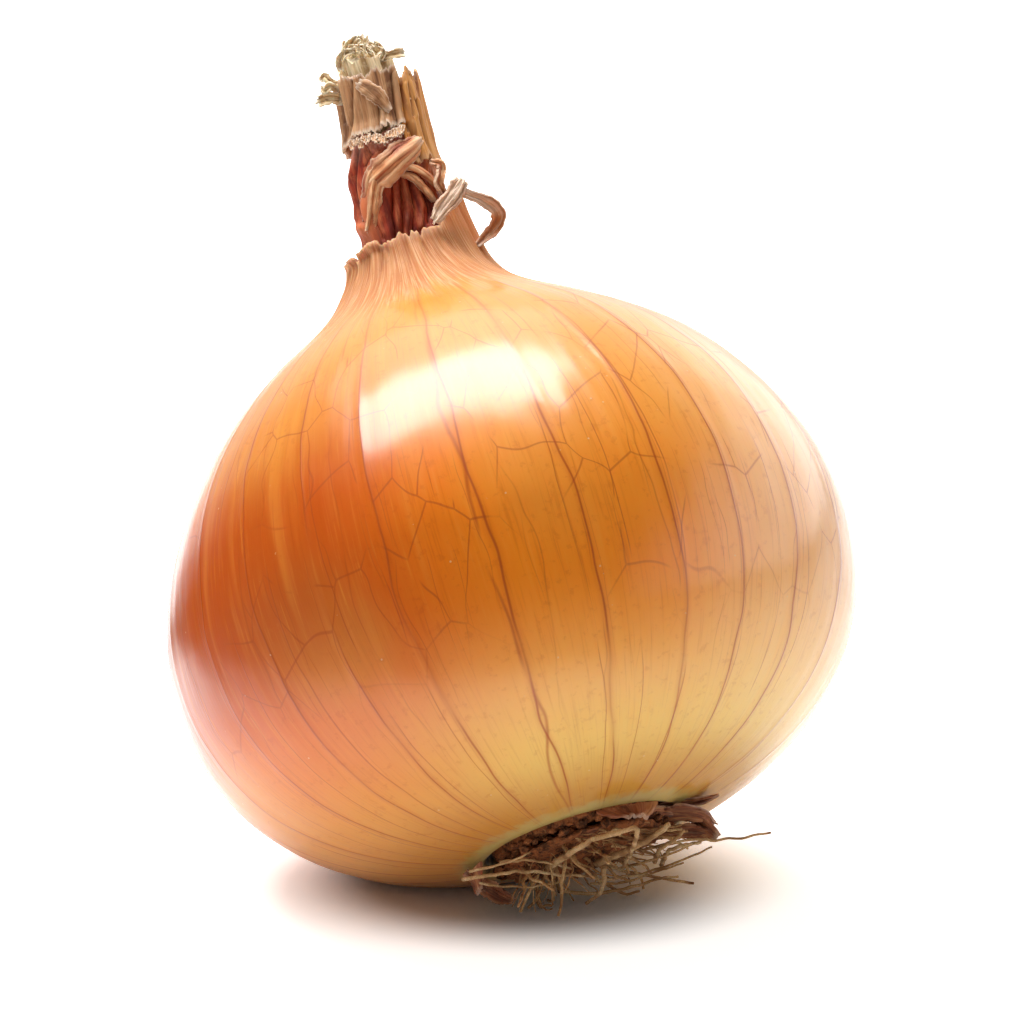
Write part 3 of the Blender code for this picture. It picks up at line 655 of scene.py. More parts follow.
colour = golden.blend(golden.step(mottle, 0.56, 0.7, 0.0, 0.35), colour, darker)
LINES = [(main_veins, 0.8), (second_veins, 0.62), (third_veins, 0.45), (fine_veins, 0.35)]
for lines, strength in LINES + [(net, 0.55)]:
    colour = golden.wash(colour, lines, strength, VEIN_RED)
speck_cells = {"Vector": golden.place, "Scale": 0.42, "Randomness": 1.0}
specks = golden.add("ShaderNodeTexVoronoi", speck_cells, "Distance")
specks = golden.times(golden.step(specks, 0.07, 0.03), golden.step(mottle, 0.5, 0.56))
colour = golden.wash(colour, specks, 0.6, SPECK)

# %% Papery neck, green rim and dirt
PAPER_DARK = (0.52, 0.20, 0.075)
PAPER_LIGHT = (0.70, 0.38, 0.19)
PAPER_FLECK = (0.42, 0.15, 0.05)
PLEAT_SHADE = (0.34, 0.10, 0.03)
TORN_PALE = (0.85, 0.62, 0.42)
TAB_BROWN = (0.46, 0.16, 0.05)
SOCKET_SHADE = (0.22, 0.05, 0.015)
RIM_GREEN = (0.62, 0.50, 0.17)
DIRT_BROWN = (0.10, 0.05, 0.025)
edge_noise = golden.grain(golden.stretch(meridian, (14.0, 14.0, 6.0)), 1.0, 3.0, 0.6)
papery = golden.step(golden.maths("MULTIPLY_ADD", edge_noise, 7.0, z), 34.0, 39.5)
paper_streaks = golden.grain(golden.stretch(meridian, (60.0, 60.0, 5.0)), 1.0, 3.0, 0.65)
paper = golden.blend(golden.step(paper_streaks, 0.4, 0.66), PAPER_DARK, PAPER_LIGHT)
flecks = golden.step(golden.grain(golden.place, 1.7, 3.0, 0.7), 0.58, 0.68)
paper = golden.wash(paper, flecks, 0.35, PAPER_FLECK)
paper = golden.wash(paper, golden.stored("pleat"), 0.7, PLEAT_SHADE)
paper = golden.wash(paper, golden.stored("edge"), 0.35, TORN_PALE)
paper = golden.wash(paper, golden.stored("tab"), 0.7, TAB_BROWN)
colour = golden.blend(papery, colour, paper)
# darker inside the socket of the collar: painted shade in the recess
colour = golden.wash(colour, golden.stored("inside"), 0.75, SOCKET_SHADE)
rim_noise = golden.maths("MULTIPLY_ADD", golden.grain(golden.place, 0.8, 2.0), 3.0, ring)
green = golden.times(golden.step(rim_noise, 17.0, 14.6), golden.step(z, -26.0, -28.0))
colour = golden.wash(colour, green, 0.75, RIM_GREEN)
dirt = golden.times(golden.step(rim_noise, 13.6, 12.2), golden.step(z, -20.0, -24.0))
colour = golden.wash(colour, dirt, 0.85, DIRT_BROWN)
golden.set("Base Color", colour)

# %% Gloss, glow and relief of the skin
rough = golden.step(streaks, 0.3, 0.7, 0.36, 0.48)
rough = golden.maths("MULTIPLY_ADD", papery, 0.35, rough)
golden.set("Roughness", rough)
golden.set("Coat Weight", golden.maths("MULTIPLY_ADD", papery, -0.92, 0.95))
golden.set("Subsurface Weight", 0.25)
golden.set("Subsurface Radius", (1.0, 0.32, 0.08))
golden.set("Subsurface Scale", 2.5 * MM)
height = golden.maths("MULTIPLY_ADD", main_veins, 0.6, golden.times(streaks, 0.35))
height = golden.maths("ADD", height, golden.times(second_veins, 0.35))
papery_height = golden.times(golden.times(paper_streaks, papery), 2.5)
golden.set("Normal", golden.relief(golden.maths("ADD", height, papery_height), 0.05))
dress(skin, "bulb", golden, sharp=180.0)

# %% [markdown]
# ## Dry leaves of the neck
# Above the collar the neck is what is left of the green leaves: packed inner leaf bases, a
# crumpled red-brown leaf over them, and two fibrous sleeves at the top. Each is a sheet rolled
# round the neck. Dry leaf is all fibre, so their finishes share one recipe: streaks along the
# neck and paler torn edges, with a painted highlight on the crests of the folds and painted shade
# in their hollows.


# %% A fibrous finish
def fibrous(name, tones, follow=True, fineness=5.0):
    """Fibres along a sheet (follow) or along the neck, of four tones.

    The tones are the dark, middle and light ones, and one for the places marked warm."""
    dark, middle, light, warm = tones
    made = Finish(name, {"Roughness": 0.62, "Subsurface Weight": 0.12, "IOR": 1.45})
    made.set("Subsurface Radius", (1.0, 0.5, 0.25))
    made.set("Subsurface Scale", 0.6 * MM)
    if follow:
        slow = made.times(made.stored("along"), 0.06)
        base = made.vector(made.stored("across"), slow, 3.0)
    else:
        base = made.stretch(made.place, (1.0, 1.0, 0.07))
    fibres = made.grain(base, fineness, 2.0, 0.6)
    wide = made.grain(base, 0.24 * fineness, 2.0)
    blotches = made.grain(made.place, 0.7, 3.0, 0.65)
    colour = made.blend(made.step(wide, 0.36, 0.5), dark, middle)
    colour = made.blend(made.step(wide, 0.5, 0.66, 0.0, 0.65), colour, light)
    colour = made.blend(made.stored("warm"), colour, warm)
    colour = made.blend(made.step(fibres, 0.5, 0.32, 0.0, 0.6), colour, dark)
    colour = made.blend(made.step(blotches, 0.5, 0.66, 0.0, 0.3), colour, light)
    # painted highlight: the light tone on crests marked as lit
    colour = made.wash(colour, made.stored("lit_crest"), 0.8, light)
    colour = made.blend(made.step(fibres, 0.55, 0.74, 0.0, 0.5), colour, light)
    # painted shade: a darker dark in the hollows
    colour = made.blend(made.stored("shaded_hollow"), colour, tuple(0.3 * value for value in dark))
    pale = tuple(0.6 * value + 0.4 * paper for value, paper in zip(light, TORN_PAPER))
    colour = made.blend(made.stored("edge"), colour, pale)
    made.set("Base Color", colour)
    made.set("Normal", made.relief(made.maths("ADD", fibres, wide), 0.09))
    return made


TORN_PAPER = (0.92, 0.86, 0.76)
RED_DARK = (0.21, 0.016, 0.004)
GOLDEN_FIBRE = (0.62, 0.24, 0.045)
RED = [RED_DARK, (0.44, 0.042, 0.009), (0.72, 0.20, 0.07), GOLDEN_FIBRE]
FOLD = [(0.38, 0.07, 0.02), (0.78, 0.32, 0.13), (0.90, 0.56, 0.30), RED_DARK]
TAN = [(0.19, 0.072, 0.025), (0.42, 0.185, 0.072), (0.62, 0.35, 0.17), GOLDEN_FIBRE]
GOLD = [(0.24, 0.065, 0.01), GOLDEN_FIBRE, (0.64, 0.30, 0.08), RED_DARK]
STRAW = [(0.32, 0.18, 0.065), (0.68, 0.47, 0.23), (0.93, 0.78, 0.52), (0.42, 0.25, 0.10)]
SHRED = [(0.46, 0.22, 0.12), (0.72, 0.46, 0.31), (0.86, 0.66, 0.50), (0.50, 0.20, 0.07)]
SCRAP = [(0.13, 0.032, 0.012), (0.34, 0.105, 0.04), (0.58, 0.28, 0.12), (0.5, 0.3, 0.15)]
red_leaf = fibrous("red leaf", RED, follow=False, fineness=4.0)
red_fold = fibrous("red fold", FOLD, fineness=3.0)
tan_leaf = fibrous("tan leaf", TAN)
golden_leaf = fibrous("golden leaf", GOLD)
straw = fibrous("pale straw", STRAW)
pale_shred = fibrous("pale shred", SHRED, fineness=3.4)
print(len(bpy.data.materials), "finishes so far")


# %% [markdown]
# ### Strips
# Folds, shreds and frayed ends are flat strips that bend and curl. A strip is a sheet laid along
# a smooth line through a few stations. Each station says where the photograph shows the strip,
# as a pixel, how far out it lies, and half its width in pixels.


# %% A strip along a traced route
def smooth_line(route, share):
    """Points on a smooth curve through the route, at each share from 0 to 1 of its length."""
    path = np.array(route, float)
    path = np.vstack([2.0 * path[0] - path[1], path, 2.0 * path[-1] - path[-2]])
    place_on = np.clip(share, 0.0, 1.0) * (len(path) - 3)
    index = np.minimum(place_on.astype(int), len(path) - 4)
    t = (place_on - index)[:, None]
    before, start, end, after = (path[index + step] for step in range(4))
    bow = (2.0 * before - 5.0 * start + 4.0 * end - after) * t**2
    twist = (3.0 * start - before - 3.0 * end + after) * t**3
    return start + 0.5 * ((end - before) * t + bow + twist)


def unit(vectors):
    """The same vectors with a length of 1."""
    return vectors / np.maximum(np.linalg.norm(vectors, axis=1, keepdims=True), 1e-9)


def traced(
    route, seed, furrows=3.0, depth=0.06, cup=0.0, tear=1.0,
    where=on_neck, warm=None, pale=0.5, shaded=0.0,
):
    """The rule of a strip through stations of (pixel right, pixel down, how far out, half width).

    Furrows and their depth crumple it, cup bends its sides, and tear is how ragged its ends are.
    The warm tone starts at a share of its length, or shades one side of it."""

    def rule(across, along):
        middle = smooth_line(route, along)
        ahead = smooth_line(route, along + 0.01)[:, :2] - smooth_line(route, along - 0.01)[:, :2]
        ahead = unit(ahead)
        side = np.column_stack([-ahead[:, 1], ahead[:, 0]])
        off = 2.0 * across - 1.0
        none = 0.0 * along

        def crumples(first, second):
            return lumps(np.column_stack([first, second, none + seed]), 1.0)

        edge = np.column_stack([along * 4.0, np.sign(off) * 3.0, none + seed])
        wavy = 0.3 * np.abs(off) * lumps(edge, 1.0) + 0.2 * lumps(edge * 4.0, 1.0) * np.abs(off)
        ends = smooth_step(0.85, 1.0, along) - smooth_step(0.15, 0.0, along)
        teeth = lumps(np.column_stack([across * 4.0, none + seed, ends]), 1.0)
        teeth += 0.7 * lumps(np.column_stack([across * 13.0, none + seed, ends]), 1.0)
        at = middle[:, :2] + side * (off * middle[:, 3] * (1.0 + wavy))[:, None]
        at += ahead * (tear * 4.0 * np.abs(ends) * teeth)[:, None]
        fold = 2.2 * crumples(off * furrows * 0.8, along * 1.3)
        fold += 0.8 * crumples(off * furrows * 2.6, along * 2.0)
        crumple = 0.16 * crumples(along * 5.0, across * 2.5) + 0.12 * crumples(*(at / 9.0).T)
        out = middle[:, 2] + cup * off**2 + depth * fold + crumple
        # crests of the crumples are marked for a painted highlight, hollows for painted shade
        lit_crest, shaded_hollow = 0.6 * smooth_step(0.1, 0.9, fold), 0.35 * smooth_step(-0.3, -1.0, fold)
        marks = {"lit_crest": lit_crest, "shaded_hollow": shaded_hollow}
        marks["edge"] = pale * np.maximum(np.abs(ends), smooth_step(0.86, 1.0, np.abs(off)))
        if warm:
            marks["warm"] = smooth_step(*warm, along)
        # one side of the strip in the warm tone, here painted shade along that side
        if shaded:
            one_side = smooth_step(0.1, 0.9, off + 0.5 * lumps(edge, 1.0))
            marks["warm"] = shaded * one_side * smooth_step(0.0, 0.35, along)
        return where(at[:, 0], at[:, 1], out), marks

    return rule


# %% The crumpled red leaf
RED_RADIUS = 4.85
RED_TOP = 56.8
RED_BOTTOM = SOCKET_FLOOR + GAP + 0.4
# valleys and ridges as the photograph shows them: line, half width in pixels, height in mm
RED_FOLDS = [
    ([(357, 150), (356, 176), (358, 202), (364, 220)], 2.4, -0.55),
    ([(350, 160), (350, 198)], 1.6, -0.3),
    ([(353, 148), (352, 190), (357, 216)], 2.2, 0.25),
    ([(376, 182), (370, 202), (366, 226)], 7.0, 0.45),
    ([(364, 186), (361, 204), (368, 222)], 2.0, -0.35),
    ([(378, 200), (377, 222), (384, 238)], 1.8, -0.3),
    ([(391, 178), (391, 214), (395, 238)], 2.2, -0.5),
    ([(395, 176), (397, 214), (398, 238)], 1.7, 0.3),
    ([(399, 176), (402, 212), (401, 240)], 1.8, -0.5),
    ([(404, 176), (408, 208), (405, 238)], 1.8, 0.35),
    ([(410, 178), (415, 208), (412, 232)], 1.9, -0.45),
    ([(414, 180), (421, 204), (420, 226)], 2.0, 0.35),
    ([(420, 184), (428, 206), (428, 222)], 1.9, -0.4),
    ([(426, 182), (434, 204)], 2.2, 0.4),
    ([(366, 146), (372, 152), (366, 164)], 2.2, -0.4),
    ([(371, 142), (378, 150), (372, 166)], 2.2, 0.3),
]
# three more lines: the dark hollow, the peach fold and the warm side
HOLLOW = [(403, 186), (408, 214), (406, 236)]
PEACH_FOLD = [(378, 176), (371, 196), (369, 214), (372, 236)]
WARM_SIDE = [(420, 130), (430, 150), (437, 178)]


def red_rule(across, along):
    """The crumpled tube: drawn folds where the photograph shows them, waves at the back."""
    angle = TURN * (across % 1.0)
    height = RED_BOTTOM + (RED_TOP - RED_BOTTOM) * along
    free = smooth_step(SOCKET_FLOOR + 3.0, COLLAR_HEIGHT + 1.0, height)
    torn = smooth_step(RED_TOP - 3.5, RED_TOP, height)
    calm = (0.25 + 0.75 * free) * (1.0 - 0.75 * torn)
    front = smooth_step(0.15, -0.3, np.sin(angle))
    swing = 1.1 * np.sin(2.0 * angle + 0.3 * height)
    folds = 0.32 * np.sin(6.0 * angle + 0.35 * height + swing)
    folds = folds + 0.16 * np.sin(11.0 * angle - 0.5 * height)
    folds = folds * (1.0 - 0.85 * front)
    pixels = shown(bent(polar(angle, RED_RADIUS, height)))
    drawn = sum(amount * line_blur(pixels, line, width) for line, width, amount in RED_FOLDS)
    shaded_hollow = line_blur(pixels, HOLLOW, 17.0) * front
    fine = 0.07 * lumps(polar(angle, 14.0, height * 0.3), 0.7)
    folds = folds + front * drawn
    small = fine + 0.14 * lumps(polar(angle, 5.0, height * 0.6), 0.9)
    radius = RED_RADIUS + calm * (folds + small) - 0.9 * torn - 0.75 * shaded_hollow + 0.25 * front * free
    height = height + torn * 0.9 * ragged(angle, 2.0)
    # the peach fold and the lit crests of the folds are marked for a painted highlight; fold
    # valleys and the hollow for painted shade
    peach = line_blur(pixels, PEACH_FOLD, 9.0) * front
    lit = smooth_step(0.08, 0.42, folds)
    lit_crest = np.clip(0.85 * peach + 0.55 * lit * (1.0 - 0.5 * shaded_hollow), 0.0, 1.0) * free
    dark = np.maximum(0.3 * shaded_hollow, 0.75 * smooth_step(-0.12, -0.45, folds))
    # darker low down where the leaf goes into the collar: painted shade
    dark = np.maximum(dark, 0.8 * smooth_step(45.5, 42.5, height) * (1.0 - 0.6 * peach))
    marks = {"lit_crest": lit_crest, "shaded_hollow": np.clip(dark, 0.0, 1.0), "edge": 0.5 * torn}
    marks["warm"] = 0.8 * line_blur(pixels, WARM_SIDE, 11.0)
    return bent(polar(angle, radius, height)), marks


# stations of the folds as in traced, then furrows, depth and cup
RED_STRIPS = [
    (
        [(420, 137, 5.5, 7.0), (411, 145, 6.1, 11.0), (400, 154, 6.5, 13.0), (389, 164, 6.5, 15.0)]
        + [(378, 174, 6.1, 15.0), (368, 183, 5.5, 10.0)],
        2.6, 0.17, -0.65,
    ),
    (
        [(378, 166, 5.8, 9.0), (373, 182, 5.8, 11.0), (371, 198, 5.6, 10.0), (370, 214, 5.4, 8.0)]
        + [(367, 231, 5.3, 7.0)],
        3.0, 0.18, -0.45,
    ),
    (
        [(401, 163, 5.5, 2.5), (415, 167, 6.0, 3.2), (428, 175, 6.1, 3.4), (439, 186, 5.7, 2.6)],
        2.0, 0.10, -0.3,
    ),
    (
        [(398, 171, 5.3, 2.0), (412, 176, 5.7, 3.0), (424, 187, 5.8, 3.2), (434, 199, 5.5, 2.6)],
        2.0, 0.10, -0.3,
    ),
    (
        [(430, 160, 5.7, 2.5), (440, 162, 6.4, 3.4), (441, 171, 6.4, 4.0), (439, 182, 6.2, 4.4)]
        + [(443, 192, 6.0, 2.6)],
        2.0, 0.12, 0.3,
    ),
]
red_pieces = [laid_sheet("red_leaf", 260, 110, red_rule, thickness=0.4)]
for number, (route, furrows, depth, cup) in enumerate(RED_STRIPS):
    rule = traced(route, 3.0 + number, furrows, depth, cup, tear=0.7, shaded=0.75)
    fold = laid_sheet("red_fold", 40, 70, rule, thickness=0.3)
    fold.data.materials.append(red_fold.material)
    red_pieces.append(fold)
red_pieces[0].data.materials.append(red_leaf.material)
dress(joined(red_pieces, "red_leaf"), "red_sheath")


# %% [markdown]
# ### The two sleeves
# The tan leaf wraps the front and left of the neck and the golden one its right. Both are fluted
# by their fibres and torn off above and below. The torn edges get teeth as fine as the grid.


# %% Sleeves
def sleeve(arc, heights, radii, seed, valleys, hem):
    """The rule of a fluted sleeve over an arc of the neck, in degrees, torn below and above.

    The valleys are lines of the photograph, and hem is how pale its torn edges are."""
    arc_start, arc_end = arc
    bottom, top = heights
    low_radius, high_radius = radii

    def rule(across, along):
        angle = np.radians(arc_start + (arc_end - arc_start) * across)
        height = bottom + (top - bottom) * along
        low_edge = smooth_step(0.35, 0.0, along)
        high_edge = smooth_step(0.65, 1.0, along)
        pixels = shown(bent(polar(angle, low_radius, height)))
        teeth = lumps(polar(angle, 16.0, seed), 0.9) + 0.6 * lumps(polar(angle, 40.0, seed), 0.9)
        height = height + (0.5 * low_edge + 0.9 * high_edge) * ragged(angle, seed)
        height += 0.5 * teeth * (smooth_step(0.15, 0.0, along) + smooth_step(0.85, 1.0, along))
        flute = 0.13 * np.sin(9.0 * angle + 2.0 * along + seed)
        fine = 0.05 * np.sin(31.0 * angle + 3.0 * np.sin(5.0 * angle) + seed)
        crease = sum(line_blur(pixels, line, 1.7) for line in valleys) * (np.sin(angle) < 0.2)
        beside = [np.array(line) + [3.5, 0.0] for line in valleys]
        lit_crest = sum(line_blur(pixels, line, 2.2) for line in beside)
        radius = low_radius + (high_radius - low_radius) * along
        out = radius + flute + fine - 0.4 * crease + 0.15 * lit_crest + 0.35 * low_edge**2
        out += 0.12 * lumps(polar(angle, 5.0, height * 0.5), 1.3)
        pale = hem * np.maximum(smooth_step(0.1, 0.0, along), 0.8 * smooth_step(0.93, 1.0, along))
        # flute tops and ridges beside the valleys are marked for a painted highlight, the creases
        # for painted shade
        lit = 0.3 * smooth_step(0.0, 0.15, flute) + 0.4 * lit_crest
        marks = {"edge": pale, "lit_crest": np.clip(lit, 0.0, 1.0)}
        marks["shaded_hollow"] = np.clip(0.6 * crease, 0.0, 1.0)
        return bent(polar(angle, out, height)), marks

    return rule


TAN_VALLEYS = [[(351, 78), (353, 140)], [(377, 92), (380, 134)]]
TAN_VALLEYS += [[(390, 72), (396, 122)], [(338, 84), (344, 120)]]
GOLD_VALLEYS = [[(402, 78), (408, 128)], [(410, 80), (414, 112)]]
GOLD_VALLEYS += [[(417, 96), (430, 160)], [(409, 120), (424, 170)]]
tan_rule = sleeve(
    arc=(-232.0, -60.0), heights=(56.9, 63.9), radii=(4.8, 4.85),
    seed=3.0, valleys=TAN_VALLEYS, hem=1.0,
)
tan_pieces = [laid_sheet("tan_leaf", 240, 80, tan_rule, thickness=0.3)]
TAN_TEAR = [(357, 80, 5.1, 5.0), (367, 86, 5.3, 8.0), (378, 95, 5.35, 8.0), (389, 108, 5.1, 2.5)]
tear_rule = traced(TAN_TEAR, 2.0, furrows=2.4, depth=0.03, cup=-0.15, pale=1.0)
tan_pieces.append(laid_sheet("tan_tear", 24, 40, tear_rule, thickness=0.2))
TAN_HEM = [(349, 141), (362, 138), (374, 135), (384, 137), (392, 130), (403, 126)]
FRAY_STRIPS = 34
draw = random.Random(5)
for number in range(FRAY_STRIPS):
    share = np.array([number / (FRAY_STRIPS - 1.0)])
    px, py = smooth_line(TAN_HEM, share)[0] + [draw.uniform(-1.0, 1.0), draw.uniform(-3.0, 0.0)]
    lean = draw.uniform(-3.5, 3.5)
    length = draw.uniform(1.5, 8.0)
    wide = draw.uniform(0.7, 2.3)
    route = [(px, py - 2.0, 5.2, wide), (px + 0.5 * lean, py + 0.5 * length, 5.6, wide)]
    route += [(px + lean, py + length, draw.uniform(5.7, 6.4), 0.7 * wide)]
    rule = traced(route, number, furrows=1.5, depth=0.06, cup=0.1, tear=0.35, pale=1.0)
    tan_pieces.append(laid_sheet("fray", 6, 14, rule, thickness=0.14))
dress(joined(tan_pieces, "tan_leaf"), "tan_sheath", tan_leaf)
gold_rule = sleeve(
    arc=(-64.0, 116.0), heights=(52.2, 63.2), radii=(5.35, 4.7),
    seed=7.0, valleys=GOLD_VALLEYS, hem=0.3,
)
gold_pieces = [laid_sheet("golden_leaf", 220, 90, gold_rule, thickness=0.3)]
GOLD_TIP = [(414, 96, 4.75, 5.0), (413, 84, 4.7, 4.0), (410, 75, 4.75, 2.4), (407, 67, 4.9, 0.6)]
tip_rule = traced(GOLD_TIP, 4.0, furrows=1.5, depth=0.03)
gold_pieces.append(laid_sheet("golden_tip", 10, 40, tip_rule, thickness=0.2))
dress(joined(gold_pieces, "golden_leaf"), "golden_sheath", golden_leaf)


# %% [markdown]
# ### The shred beside the collar
# A pale papery shred stands at the right of the collar: a furrowed block, and a thinner band that
# turns over from it and hangs down to the skin. Both are strips, and their third number says how
# far they lie towards the viewer.

# %% Shred
SHRED_BLOCK = [(462, 179, 6.9, 6.0), (456, 189, 7.3, 8.5), (447, 202, 7.6, 9.5)]
SHRED_BLOCK += [(439, 213, 7.6, 7.5), (434, 220, 7.4, 4.0)]
SHRED_BAND = [(457, 188, 6.7, 4.5), (470, 194, 6.5, 5.0), (483, 199, 5.8, 5.5)]
SHRED_BAND += [(494, 206, 4.8, 6.5), (499, 216, 4.0, 8.0), (494, 227, 3.5, 7.0)]
SHRED_BAND += [(485, 236, 3.1, 4.5), (477, 244, 3.0, 2.5)]
block_rule = traced(SHRED_BLOCK, 5.0, furrows=2.6, depth=0.34, where=seen, pale=0.35)
block = laid_sheet("shred_block", 40, 50, block_rule, thickness=0.25)
band_rule = traced(
    SHRED_BAND, 8.0, furrows=2.0, depth=0.12, cup=0.25, tear=0.6,
    where=seen, warm=(0.42, 0.6), pale=0.35,
)
band = laid_sheet("shred_band", 24, 90, band_rule, thickness=0.2)
dress(joined([block, band], "pale_shred"), "skin_curl", pale_shred)

# %% [markdown]
# ### The leaf bases and their frayed tip
# Inside the sleeves the inner leaves are packed into a fluted plug, which has dried, shrunk and
# frayed where it was cut. The plug is a closed barrel, and strips and ribbons stand on from it.

# %% The plug and its strips
STUB_RADIUS = 2.7
STUB_TOP = 67.2
STUB_BOTTOM = SOCKET_FLOOR + GAP
TOP_RADIUS = 3.1


def stub_rule(across, along):
    """The closed, fluted plug, a little wider and shifted to the left at its frayed top."""
    angle = TURN * (across % 1.0)
    cap = smooth_step(0.97, 1.0, along)
    height = STUB_BOTTOM + (STUB_TOP - STUB_BOTTOM) * along
    climb = smooth_step(SOCKET_FLOOR, STUB_TOP, height)
    flute = 0.22 * np.sin(7.0 * angle + 4.0 * climb)
    flute = flute + 0.12 * np.sin(23.0 * angle + 2.0 * np.sin(3.0 * angle))
    widen = (TOP_RADIUS / STUB_RADIUS - 1.0) * smooth_step(RED_TOP, STUB_TOP - 4.0, height)
    radius = (STUB_RADIUS + flute) * (1.0 + widen)
    radius = radius * np.where(along > 0.999, 0.0, 1.0) * np.where(along < 0.001, 0.0, 1.0)
    at_top = smooth_step(STUB_TOP - 6.0, STUB_TOP, height)
    laid = polar(angle, radius, height)
    laid[:, 2] += at_top * (0.6 * ragged(angle, 9.0) + 0.1 * laid[:, 1]) - 0.6 * cap
    laid[:, 2] += 0.2 * smooth_step(0.03, 0.0, along)
    laid[:, 0] -= 0.7 * smooth_step(RED_TOP, STUB_TOP, height)
    at_rim = smooth_step(STUB_TOP - 0.9, STUB_TOP, height)
    # the tops of the flutes are marked for a painted highlight
    marks = {"edge": at_rim, "lit_crest": 0.5 * smooth_step(0.0, 0.2, flute)}
    marks["warm"] = 0.9 * (1.0 - at_top)
    return bent(laid), marks


# the frayed tip: pixel right, pixel down, millimetres towards the viewer, half width in pixels
TUFT = [
    [(346, 64, 1.4, 6.0), (346, 52, 1.0, 7.5), (350, 42, 1.0, 7.5), (356, 34, 1.2, 5.0)],
    [(358, 62, 0.4, 8.0), (358, 48, 0.0, 9.5), (360, 38, 0.1, 8.5), (362, 31, 0.2, 5.0)],
    [(374, 62, 0.6, 7.0), (375, 51, 0.3, 8.5), (373, 43, 0.3, 7.5), (370, 37, 0.4, 5.0)],
    [(384, 68, 1.2, 4.5), (383, 57, 1.2, 5.0), (377, 48, 1.6, 5.5), (368, 44, 2.0, 4.0)],
    [(339, 66, 2.2, 3.6), (338, 57, 2.4, 4.0), (342, 50, 2.4, 4.0), (350, 47, 2.4, 2.5)],
    [(372, 57, 2.0, 3.6), (381, 53, 2.2, 4.4), (391, 50, 2.2, 4.8), (403, 48, 2.1, 4.4)],
    [(370, 56, 1.6, 3.4), (368, 49, 1.8, 4.4), (361, 44, 1.8, 4.0), (353, 42, 1.8, 2.4)],
    [(338, 80, 2.2, 3.0), (330, 79, 2.6, 4.0), (323, 73, 2.4, 3.6), (319, 76, 1.9, 3.0)],
    [(336, 87, 2.0, 3.0), (329, 83, 2.8, 4.0), (323, 87, 2.4, 3.4), (320, 84, 2.1, 2.0)],
    [(341, 96, 1.8, 5.0), (331, 95, 2.2, 6.2), (323, 96, 2.2, 6.2), (316, 98, 2.1, 5.2)],
]
stub_pieces = [laid_sheet("leaf_bases", 160, 110, stub_rule)]
for number, route in enumerate(TUFT):
    bend = {"furrows": 2.0, "depth": 0.09, "cup": 0.15, "tear": 1.3}
    rule = traced(route, 3.0 + number, **bend, where=seen, pale=0.8)
    stub_pieces.append(laid_sheet("tuft", 20, 44, rule, thickness=0.16))
draw = random.Random(3)
WISPS = 26
for number in range(WISPS):
    px, py = draw.uniform(340.0, 384.0), draw.uniform(48.0, 60.0)
    lean, length = draw.uniform(-3.0, 3.0), draw.uniform(6.0, 13.0)
    near, wide = draw.uniform(0.0, 2.4), draw.uniform(1.0, 3.0)
    crook = draw.uniform(-2.0, 2.0)
    route = [(px, py, near, wide), (px + lean, py - 0.6 * length, near, wide)]
    route += [(px + lean + crook, py - length, near + 0.3, 0.6 * wide)]
    rule = traced(route, number, furrows=1.5, depth=0.05, cup=0.1, tear=0.3, where=seen)
    stub_pieces.append(laid_sheet("wisp", 5, 16, rule, thickness=0.12))
dress(joined(stub_pieces, "leaf_bases"), "neck_stub", straw)

# %% [markdown]
# ## The root end
# The roots grow from a hard brown disc, the stem plate, that sits in a dimple of the skin. Dried,
# they are kinked straw fibres, matted over the plate and brushed to the right, and dry soil and
# bits of skin are caught among them.

# %% Finishes of the root end
soil_brown = Finish("crumbly plate", {"Roughness": 0.92, "IOR": 1.4})
coarse = soil_brown.grain(soil_brown.place, 0.9, 3.0, 0.7)
gritty = soil_brown.grain(soil_brown.place, 3.2, 3.0, 0.7)
SOIL_DARK = (0.09, 0.030, 0.010)
SOIL_LIGHT = (0.40, 0.13, 0.040)
SOIL_GRIT = (0.46, 0.25, 0.10)
colour = soil_brown.blend(soil_brown.step(coarse, 0.35, 0.6), SOIL_DARK, SOIL_LIGHT)
colour = soil_brown.blend(soil_brown.step(gritty, 0.55, 0.75, 0.0, 0.6), colour, SOIL_GRIT)
soil_brown.set("Base Color", colour)
soil_brown.set("Normal", soil_brown.relief(gritty, 0.35))


def root_finish(name, dark, middle, light):
    """Dry root: slow changes between three tones, and fine dark grain."""
    made = Finish(name, {"Roughness": 0.8, "Subsurface Weight": 0.1, "IOR": 1.45})
    made.set("Subsurface Scale", 0.5 * MM)
    slow = made.grain(made.place, 0.35, 2.0)
    fine = made.grain(made.place, 5.0, 3.0, 0.7)
    colour = made.blend(made.step(slow, 0.32, 0.52), dark, middle)
    colour = made.blend(made.step(slow, 0.52, 0.68, 0.0, 0.8), colour, light)
    colour = made.blend(made.step(fine, 0.55, 0.4, 0.0, 0.5), colour, dark)
    made.set("Base Color", colour)
    made.set("Normal", made.relief(fine, 0.12))
    return made


root_straw = root_finish("root straw", (0.24, 0.10, 0.035), (0.55, 0.31, 0.125), (0.80, 0.54, 0.26))
pale_root = root_finish("pale root", (0.30, 0.15, 0.055), (0.62, 0.39, 0.18), (0.88, 0.64, 0.36))
scrap_skin = fibrous("torn scraps", SCRAP, fineness=2.5)


# %% The plate and its crumbs
def turned(across, along, size, corners):
    """Angle and points of a profile turned about the axis.

    Its corners are (how far along, share of the size, height)."""
    angle = TURN * (across % 1.0)
    corners = np.array(corners)
    radius = size * np.interp(along, corners[:, 0], corners[:, 1])
    return angle, polar(angle, radius, np.interp(along, corners[:, 0], corners[:, 2]))


